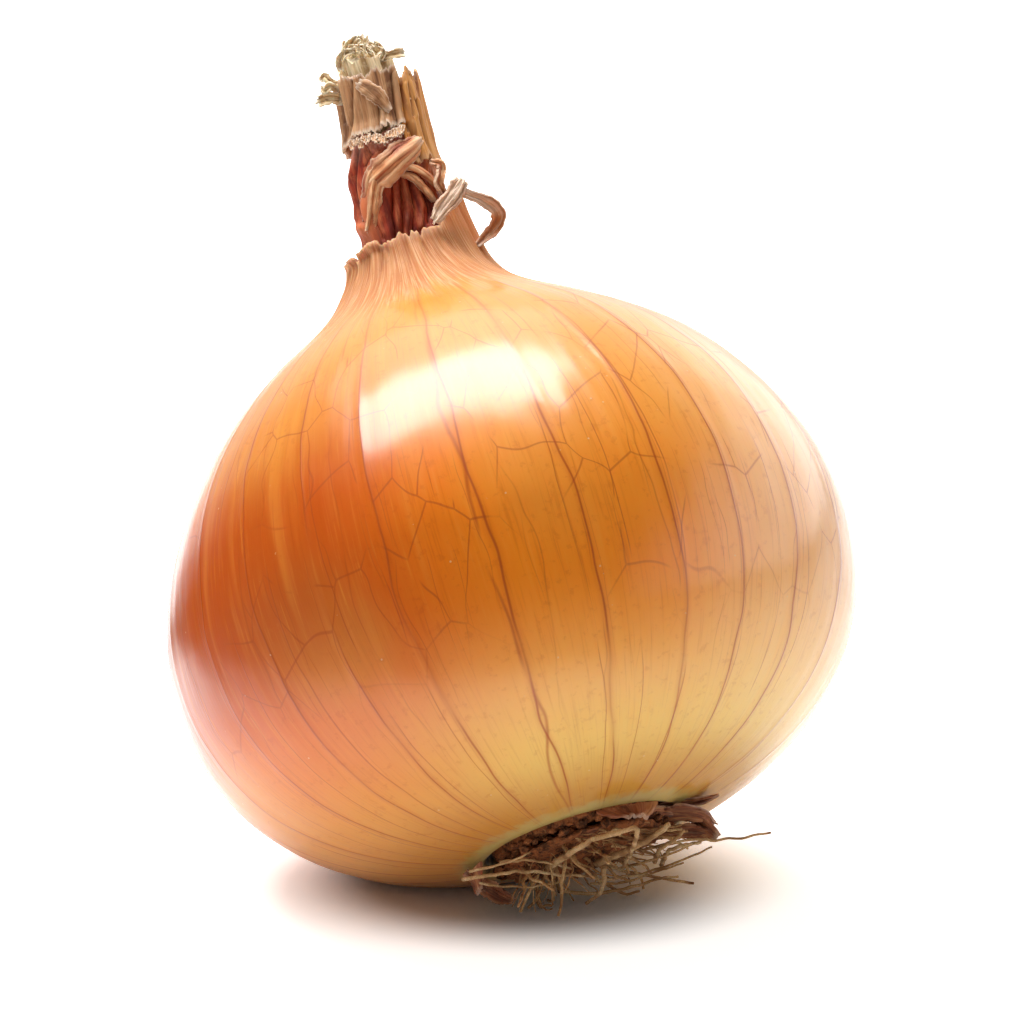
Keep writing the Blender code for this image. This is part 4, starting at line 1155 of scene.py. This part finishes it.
def plate_rule(across, along):
    """The disc, with a lumpy outer face and small notches round its edge."""
    top = DIMPLE_FLOOR - GAP
    corners = [(0.0, 0.0, top), (0.06, 0.55, top), (0.12, 0.95, top)]
    corners += [(0.18, 0.985, 0.5 * (top + PLATE_FACE)), (0.24, 0.955, PLATE_FACE)]
    corners += [(0.4 + 0.16 * step, 0.8 - 0.2 * step, PLATE_FACE) for step in range(4)]
    corners += [(1.0, 0.0, PLATE_FACE)]
    angle, at = turned(across, along, PLATE_RADIUS, corners)
    radius = np.hypot(at[:, 0], at[:, 1])
    outer_face = smooth_step(PLATE_FACE + 1.0, PLATE_FACE, at[:, 2])
    rough = 0.45 * lumps(at, 2.0) + 0.35 * lumps(at + 5.0, 0.9) + 0.2 * lumps(at, 0.5)
    at[:, 2] += outer_face * rough
    notch = 0.03 * (1.0 + np.sin(9.0 * angle)) * smooth_step(7.0, 10.0, radius)
    at[:, :2] *= (1.0 - notch)[:, None]
    return at


def crumb_shape():
    """One crumb of dry soil: an ico sphere pushed out of round."""
    bpy.ops.object.select_all(action="DESELECT")
    bpy.ops.mesh.primitive_ico_sphere_add(subdivisions=2, radius=1.0)
    crumb = bpy.context.object
    for vertex in crumb.data.vertices:
        vertex.co *= 1.0 + 0.55 * noise.noise(vertex.co * 1.4 + Vector((3.0, 1.0, 2.0)))
    return crumb


def scattered(shape, spots):
    """Copies of one shape, each with its own mesh, at (point, size, turn) in the own axes."""
    copies = []
    for point, size, turn in spots:
        copy = shape.copy()
        copy.data = shape.data.copy()
        bpy.context.collection.objects.link(copy)
        stretch = Matrix.Diagonal((size * 1.2, size, size * 0.75, 1.0 / MM)) * MM
        stretch[3][3] = 1.0
        spun = Matrix.Rotation(turn, 4, "X") @ Matrix.Rotation(2.0 * turn, 4, "Z")
        copy.data.transform(AXES @ Matrix.Translation(Vector(point) * MM) @ spun @ stretch)
        copies.append(copy)
    bpy.data.objects.remove(shape, do_unlink=True)
    return copies


plate = laid_sheet("root_plate", 160, 90, plate_rule)
draw = random.Random(11)
crumb_spots = []
CRUMBS = 300
for _ in range(CRUMBS):
    angle = draw.uniform(0.0, TURN)
    reach = PLATE_RADIUS * math.sqrt(draw.random()) * 0.97
    height = PLATE_FACE - draw.uniform(0.0, 1.3)
    size, turn = draw.uniform(0.18, 0.6), draw.uniform(0.0, TURN)
    crumb_spots.append((polar(angle, reach, height)[0], size, turn))
crumbs = scattered(crumb_shape(), crumb_spots)
dress(joined([plate] + crumbs, "stem_plate"), "root_plate", soil_brown, sharp=70.0)


# %% [markdown]
# ### Roots
# Each root is a line through a few points with a round bevel, thinner towards its tip. The
# thirty that give the mat its outline follow the same seeded draw as the solids. Between and over
# them lie finer ones, and fifteen that catch the eye are placed one by one.


# %% Fibres from routes
def fibre_bundle(name, routes, seed, kink):
    """Fibres through routes of (points, radius): kinked a little, and tapered."""
    line = bpy.data.curves.new(name, "CURVE")
    line.dimensions = "3D"
    line.bevel_depth = 1.0 * MM
    line.bevel_resolution = 1
    line.use_fill_caps = True
    for number, (route, radius) in enumerate(routes):
        length = np.linalg.norm(np.diff(np.array(route), axis=0), axis=1).sum()
        count = max(8, int(length * 2.2))
        share = np.arange(count) / (count - 1)
        none = 0.0 * share
        laid = smooth_line(route, share)
        for axis in range(3):
            here = np.column_stack([share * length * 0.55, none + number, none + seed + axis])
            laid[:, axis] += kink * lumps(here, 1.0) * smooth_step(0.0, 0.2, share)
        world = lying(laid)
        world[:, 2] = np.maximum(world[:, 2], (radius + 0.1) * MM)
        spline = line.splines.new("POLY")
        spline.points.add(count - 1)
        thick = radius * (1.0 - 0.35 * share) * (1.0 + 0.16 * lumps(here + 7.0, 0.4))
        for point, at, size in zip(spline.points, world.tolist(), thick.tolist()):
            point.co = (*at, 1.0)
            point.radius = size
    made = bpy.data.objects.new(name, line)
    bpy.context.collection.objects.link(made)
    only(made)
    bpy.ops.object.convert(target="MESH")
    return bpy.context.object


# %% Routes of the mat
# the scraps that the roots keep clear of: middle and half width of each on the rim, its length,
# and how far it leans out
SCRAPS = {
    "skin_flap_right": (math.radians(14.0), math.radians(22.0), 3.0, 1.9),
    "skin_flap_left": (math.radians(-170.0), math.radians(20.0), 2.2, -0.4),
    "skin_flap_front": (math.radians(-62.0), math.radians(17.0), 1.8, 0.9),
}
ROOT_RADIUS = 0.38
ROOT_STEPS = 5
GOLDEN_SHARE = 0.381966


def meets_scrap(point):
    """Whether a point of a root would be in one of the scraps."""
    angle = math.atan2(point[1], point[0])
    out = math.hypot(point[0], point[1]) > DIMPLE_RADIUS - 0.2
    margin = math.radians(6.0)
    return out and any(
        abs(math.remainder(angle - middle, TURN)) < half_width + margin
        for middle, half_width, _, _ in SCRAPS.values()
    )


def root_route(start, towards, bend, length):
    """One fibre out of the mat, which bends and hangs, but never lies under the floor."""
    inverse = np.linalg.inv(TURNED)
    points = []
    for step in range(ROOT_STEPS + 1):
        share = step / ROOT_STEPS
        at = lying((start + towards * (length * share) + bend * (length * share**2))[None])[0]
        at[2] = max(at[2] - 0.14 * length * MM * share**2, (ROOT_RADIUS + 0.15) * MM)
        points.append(inverse @ (at - CENTRE) / MM)
    return points


def drawn_routes(count, seed, least, most):
    """Routes that start evenly over the mat and run outwards, mostly to the right.

    One that would meet a scrap is made shorter until it doesn't."""
    draw = random.Random(seed)
    routes = []
    for number in range(count):
        angle = TURN * number * GOLDEN_SHARE
        start = polar(angle, MAT_RADIUS * (0.2 + 0.65 * draw.random()), MAT_FACE + 0.6)[0]
        sweep = np.array([draw.uniform(0.1, 1.0), draw.uniform(-0.5, 0.5), 0.0])
        towards = polar(angle, 0.7, -draw.uniform(0.22, 0.5))[0] + sweep
        towards /= np.linalg.norm(towards)
        bend = [draw.uniform(-0.5, 0.5), draw.uniform(-0.5, 0.5), draw.uniform(-0.1, 0.1)]
        length = draw.uniform(least, most)
        route = root_route(start, towards, np.array(bend), length)
        while any(meets_scrap(point) for point in route):
            length *= 0.9
            route = root_route(start, towards, np.array(bend), length)
        routes.append(route)
    return routes


# %% Thick roots placed one by one
def at_base(stations):
    """A route from stations of pixel right, pixel down and height on the onion's own axes."""
    return [at_height(float(px), float(py), float(height))[0] for px, py, height in stations]


THICK_ROOTS = [
    (0.52, [(547, 866, -32.2), (560, 856, -33.2), (575, 845, -33.9), (592, 834, -34.6)]),
    (0.56, [(597, 862, -32.2), (610, 855, -33.2), (625, 848, -33.9), (640, 840, -34.2)]
     + [(655, 830, -34.2), (668, 821, -33.8)]),
    (0.40, [(592, 835, -33.4), (612, 829, -34.2), (633, 823, -34.9), (635, 830, -35.2)]
     + [(632, 842, -34.9), (629, 852, -34.2), (624, 864, -32.8)]),
    (0.30, [(463, 876, -32.0), (480, 873, -32.6), (500, 870, -32.9), (520, 868, -33.3)]
     + [(540, 869, -33.5), (565, 873, -33.6), (592, 875, -33.3)]),
    (0.36, [(655, 862, -32.2), (657, 853, -33.2), (660, 846, -33.8), (672, 838, -34.2)]
     + [(683, 828, -33.8)]),
    (0.36, [(662, 866, -32.2), (664, 858, -33.1), (668, 850, -33.6), (684, 843, -33.9)]
     + [(700, 842, -33.2)]),
    (0.28, [(560, 890, -33.2), (580, 893, -34.0), (600, 893, -34.4), (620, 889, -34.7)]
     + [(640, 885, -34.8), (660, 878, -34.8), (678, 877, -34.4)]),
    (0.38, [(603, 866, -33.2), (604, 880, -34.4), (599, 892, -35.3), (586, 903, -35.6)]),
    (0.26, [(640, 850, -32.0), (664, 843, -33.0), (690, 838, -33.6), (716, 838, -34.4)]
     + [(742, 836, -34.8), (769, 831, -35.2)]),
    (0.22, [(500, 858, -31.8), (525, 856, -32.6), (548, 860, -33.0), (570, 866, -33.0)]),
    (0.22, [(470, 868, -31.6), (494, 862, -32.2), (516, 855, -32.6), (530, 848, -32.6)]),
    (0.22, [(600, 880, -33.0), (630, 876, -33.6), (660, 868, -34.0), (690, 856, -34.0)]
     + [(712, 846, -33.6)]),
    (0.20, [(590, 884, -33.0), (625, 882, -33.8), (655, 872, -34.2), (684, 862, -34.2)]),
    (0.24, [(620, 868, -32.6), (648, 860, -33.4), (676, 850, -33.8), (706, 836, -33.6)]),
    (0.20, [(480, 880, -32.4), (505, 884, -33.0), (535, 884, -33.6), (560, 880, -33.6)]),
]
# the widest ones looked too heavy, so all are made this much thinner
THINNED = 0.82
thick_routes = [(at_base(stations), THINNED * radius) for radius, stations in THICK_ROOTS]
widest = 2.0 * max(radius for _, radius in thick_routes)
print(len(thick_routes), "thick roots, the widest", round(widest, 2), "mm across")
main_routes = [(route, 0.24) for route in drawn_routes(30, seed=8, least=5.0, most=9.5)]
fine_routes = [(route, 0.13) for route in drawn_routes(60, seed=21, least=2.5, most=6.5)]
hair_routes = [(route, 0.07) for route in drawn_routes(40, seed=34, least=2.0, most=5.0)]


def mat_rule(across, along):
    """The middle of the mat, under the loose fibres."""
    top = PLATE_FACE - 0.95
    corners = [(0.0, 0.0, top), (0.1, 0.6, top), (0.18, 0.93, top)]
    corners += [(0.26, 1.0, 0.5 * (top + MAT_FACE)), (0.36, 0.9, MAT_FACE)]
    corners += [(0.58, 0.6, MAT_FACE), (0.8, 0.3, MAT_FACE), (1.0, 0.0, MAT_FACE)]
    at = turned(across, along, MAT_RADIUS, corners)[1]
    face = smooth_step(PLATE_FACE - 0.6, MAT_FACE, at[:, 2])
    at[:, 2] += face * (0.5 * lumps(at, 1.9) + 0.4 * lumps(at + 3.0, 0.8))
    at[:, :2] *= (1.0 + 0.08 * face * lumps(at, 1.2))[:, None]
    return at


root_mat = laid_sheet("root_mat", 140, 60, mat_rule)
root_mat.data.materials.append(soil_brown.material)
fibres = fibre_bundle("fibres", main_routes + fine_routes + hair_routes, seed=2.0, kink=0.4)
fibres.data.materials.append(root_straw.material)
thick = fibre_bundle("thick_roots", thick_routes, seed=5.0, kink=0.2)
thick.data.materials.append(pale_root.material)
dress(joined([fibres, thick, root_mat], "root_fibres"), "roots", sharp=70.0)


# %% [markdown]
# ### Torn scraps of skin
# Where the outer skin tore away round the root end, pointed scraps of it still stand on the rim.
# Each is a tongue that follows the rim and narrows to its torn tip, with loose strips beside it.


# %% Scraps
def scrap_rule(middle, half_width, length, lean_out, seed):
    """The rule of a scrap over an arc of the rim, in radians, of this length in millimetres."""

    def rule(across, along):
        narrow = 1.0 - 0.7 * along**1.4
        angle = middle + half_width * (2.0 * across - 1.0) * narrow
        radius = DIMPLE_RADIUS + 1.25 + lean_out * along
        radius += 0.08 * np.sin(7.0 * math.pi * across) * along
        height = RIM_HEIGHT - 0.35 - GAP - length * along
        here = np.column_stack([across * 7.0, along * 3.0, 0.0 * across + seed])
        radius += 0.3 * lumps(here, 1.0) * along
        height -= smooth_step(0.5, 1.0, along) * (0.5 * lumps(here[:, [0, 2, 2]], 1.2) - 0.1)
        return polar(angle, radius, height), {"edge": 0.5 * smooth_step(0.8, 1.0, along)}

    return rule


# stations on the photograph as in traced, but the third number is the height on the own axes
LOOSE_SKIN = {
    "skin_flap_right": [
        [(655, 817, -29.6, 7.0), (675, 812, -30.4, 9.0), (697, 812, -31.4, 8.0)]
        + [(714, 822, -32.0, 1.5)],
        [(668, 832, -30.6, 8.0), (688, 830, -31.4, 7.0), (705, 831, -32.2, 5.0)]
        + [(719, 834, -32.6, 1.2)],
        [(640, 812, -29.2, 4.0), (672, 804, -29.6, 6.0), (700, 799, -30.0, 4.0)]
        + [(716, 794, -30.0, 1.0)],
    ],
    "skin_flap_left": [
        [(476, 876, -31.0, 5.0), (489, 887, -32.2, 9.0), (503, 895, -33.2, 8.0)]
        + [(514, 899, -33.8, 3.0)],
        [(466, 870, -30.6, 4.0), (480, 880, -31.6, 6.0), (488, 888, -32.2, 3.0)],
    ],
    "skin_flap_front": [
        [(598, 822, -29.4, 4.0), (622, 814, -29.8, 6.0), (648, 812, -30.0, 8.0)]
        + [(676, 812, -30.2, 5.0)],
        [(560, 842, -30.2, 3.0), (574, 836, -31.0, 4.0), (590, 828, -31.2, 3.0)]
        + [(600, 826, -31.0, 1.5)],
    ],
}
for number, (name, shape) in enumerate(SCRAPS.items()):
    scrap = [laid_sheet(name + "_torn", 60, 24, scrap_rule(*shape, 2.0 + number), thickness=0.35)]
    for route in LOOSE_SKIN[name]:
        bend = {"furrows": 2.4, "depth": 0.10, "cup": 0.15}
        rule = traced(route, 4.0 + len(scrap) + number, **bend, where=at_height, pale=0.25)
        scrap.append(laid_sheet("loose_skin", 20, 40, rule, thickness=0.18))
    dress(joined(scrap, name + "_torn"), name, scrap_skin)

# %% [markdown]
# ## Floor, light and camera
# The onion lies on a white sheet under one big soft lamp, above it and a little behind. The lamp
# is mirrored in the shoulder as a bright window, and a weaker one behind it lets that window fade
# towards the neck. Gloss shows what stands round an object, so what is mirrored is kept apart
# from what lights it: the room on the viewer's side is mirrored dark, which is why the middle of
# the skin looks so deep, while a white card at the right and the wall behind give pale rims. The
# sheet glows a little, a painted light, to be as white as in the photograph. The glow is left out
# in an ellipse under the onion: a painted shadow, over the shade the onion really casts.

# %% Floor
bpy.ops.object.select_all(action="DESELECT")
bpy.ops.mesh.primitive_plane_add(size=8.0, location=(0.0, 0.0, 0.0))
floor = bpy.context.object
floor.name = "floor"


class Studio(Finish):
    """The nodes of the floor or of the sky, where no grain has to follow the onion."""

    def __init__(self, tree):
        self.tree = tree

    def shader_node(self, kind, colour, strength_or_roughness):
        made = self.tree.nodes.new(kind)
        made.inputs[0].default_value = (*colour, 1.0)
        self.plug(strength_or_roughness, made.inputs[1])
        return made.outputs[0]

    def mixed(self, share, first, second):
        return self.add("ShaderNodeMixShader", {0: share, 1: first, 2: second})

    def towards(self, vector, heading):
        pair = {0: vector, 1: heading}
        return self.add("ShaderNodeVectorMath", pair, "Value", operation="DOT_PRODUCT")


CARD_HEADING = (0.94, 0.34, 0.0)
WALL_HEADING = (0.10, 0.99, 0.0)
white = bpy.data.materials.new("white sheet")
white.use_nodes = True
sheet = Studio(white.node_tree)
spot = sheet.add("ShaderNodeTexCoord", {}, "Object")
heading = sheet.add("ShaderNodeVectorMath", {0: spot}, operation="NORMALIZE")
distance = sheet.add("ShaderNodeVectorMath", {0: spot}, "Value", operation="LENGTH")
paper_white = sheet.shader_node("ShaderNodeBsdfDiffuse", (0.92, 0.92, 0.92), 0.0)
# an ellipse round the onion in which the glow is left out: a painted shadow
SHADE_CENTRE = (0.006, -0.008, 0.0)
SHADE_REACH = (0.032, 0.030)
from_centre = {0: spot, 1: tuple(-value for value in SHADE_CENTRE)}
from_centre = sheet.add("ShaderNodeVectorMath", from_centre)
shade_spot = sheet.stretch(from_centre, (1.0 / SHADE_REACH[0], 1.0 / SHADE_REACH[1], 0.0))
shade = sheet.add("ShaderNodeVectorMath", {0: shade_spot}, "Value", operation="LENGTH")
# the glow is a painted light, stronger where the sheet is seen directly
looked_at = sheet.add("ShaderNodeLightPath", {}, "Is Camera Ray")
glow_strength = sheet.maths("MULTIPLY_ADD", looked_at, 0.6, 0.2)
glow_strength = sheet.times(glow_strength, sheet.step(shade, 0.5, 1.1))
glow = sheet.shader_node("ShaderNodeEmission", (1.0, 1.0, 1.0), glow_strength)
lit_sheet = sheet.add("ShaderNodeAddShader", {0: paper_white, 1: glow})
# mirrored in the gloss, the sheet is dark but for its middle and the sides of the card and wall
dim = sheet.shader_node("ShaderNodeBsdfDiffuse", (0.012, 0.012, 0.012), 0.0)
near = sheet.step(distance, 0.14, 0.085)
to_card = sheet.step(sheet.towards(heading, CARD_HEADING), 0.2, 0.85)
to_wall = sheet.step(sheet.towards(heading, WALL_HEADING), 0.6, 0.85)
bright = sheet.maths("MAXIMUM", near, sheet.maths("MAXIMUM", to_card, to_wall))
mirrored = sheet.add("ShaderNodeLightPath", {}, "Is Glossy Ray")
hidden = sheet.times(mirrored, sheet.maths("SUBTRACT", 1.0, bright))
surface = sheet.tree.nodes["Material Output"].inputs["Surface"]
sheet.tree.links.new(sheet.mixed(hidden, lit_sheet, dim), surface)
floor.data.materials.append(white)
print("white sheet,", round(floor.dimensions.x, 1), "m wide")


# %% Lamps
def lamp(name, location, size, brightness):
    """A soft rectangular lamp that faces down, of this brightness beside a white wall."""
    data = bpy.data.lights.new(name, "AREA")
    data.shape = "RECTANGLE"
    data.size, data.size_y = size
    data.energy = brightness * math.pi * size[0] * size[1]
    made = bpy.data.objects.new(name, data)
    made.location = location
    made.visible_camera = False
    bpy.context.collection.objects.link(made)


lamp("window", (-0.145, 0.150, 0.54), (0.48, 0.27), 12.8)
lamp("back_window", (-0.20, 0.50, 0.54), (0.60, 0.42), 1.5)
print("two lamps, 540 mm up")

# %% Surroundings
world = bpy.data.worlds.new("white room")
bpy.context.scene.world = world
world.use_nodes = True
sky = Studio(world.node_tree)
direction = sky.add("ShaderNodeTexCoord", {}, "Generated")
card = sky.step(sky.towards(direction, CARD_HEADING), 0.2, 0.95, 0.0, 2.3)
card = sky.times(card, sky.step(sky.towards(direction, (0.0, 0.0, 1.0)), 0.7, 0.3))
wall = sky.step(sky.towards(direction, WALL_HEADING), 0.45, 0.9, 0.004, 0.7)
BLANK = (1.0, 1.0, 1.0)
mirrored_room = sky.shader_node("ShaderNodeBackground", BLANK, sky.maths("ADD", card, wall))
fill = sky.shader_node("ShaderNodeBackground", (1.0, 0.98, 0.95), 0.31)
backdrop = sky.shader_node("ShaderNodeBackground", BLANK, 1.0)
rays = sky.tree.nodes.new("ShaderNodeLightPath")
room = sky.mixed(rays.outputs["Is Glossy Ray"], fill, mirrored_room)
room = sky.mixed(rays.outputs["Is Camera Ray"], room, backdrop)
sky.tree.links.new(room, sky.tree.nodes["World Output"].inputs["Surface"])

# %% Camera
LENS = 500.0
SENSOR = 36.0
FRAME_WIDTH = 117.7
# where the middle of the picture is from the middle of the bulb: right and up, in millimetres
AIM_RIGHT = 0.414
AIM_UP = 9.954
look = Vector((0.0, math.cos(VIEW_DOWN), -math.sin(VIEW_DOWN)))
up = Vector((0.0, math.sin(VIEW_DOWN), math.cos(VIEW_DOWN)))
aim = Vector(CENTRE) + Vector((AIM_RIGHT, 0.0, 0.0)) * MM + up * (AIM_UP * MM)
eye = bpy.data.cameras.new("camera")
eye.lens = LENS
eye.sensor_width = SENSOR
camera = bpy.data.objects.new("camera", eye)
camera.location = aim - look * (LENS / SENSOR * FRAME_WIDTH * MM)
camera.rotation_euler = look.to_track_quat("-Z", "Y").to_euler()
eye.clip_start = 0.1
eye.clip_end = 50.0
bpy.context.collection.objects.link(camera)
bpy.context.scene.camera = camera
print("camera", round((camera.location - aim).length, 2), "m away")
bpy.context.scene.view_settings.view_transform = "Standard"
bpy.context.scene.view_settings.look = "None"
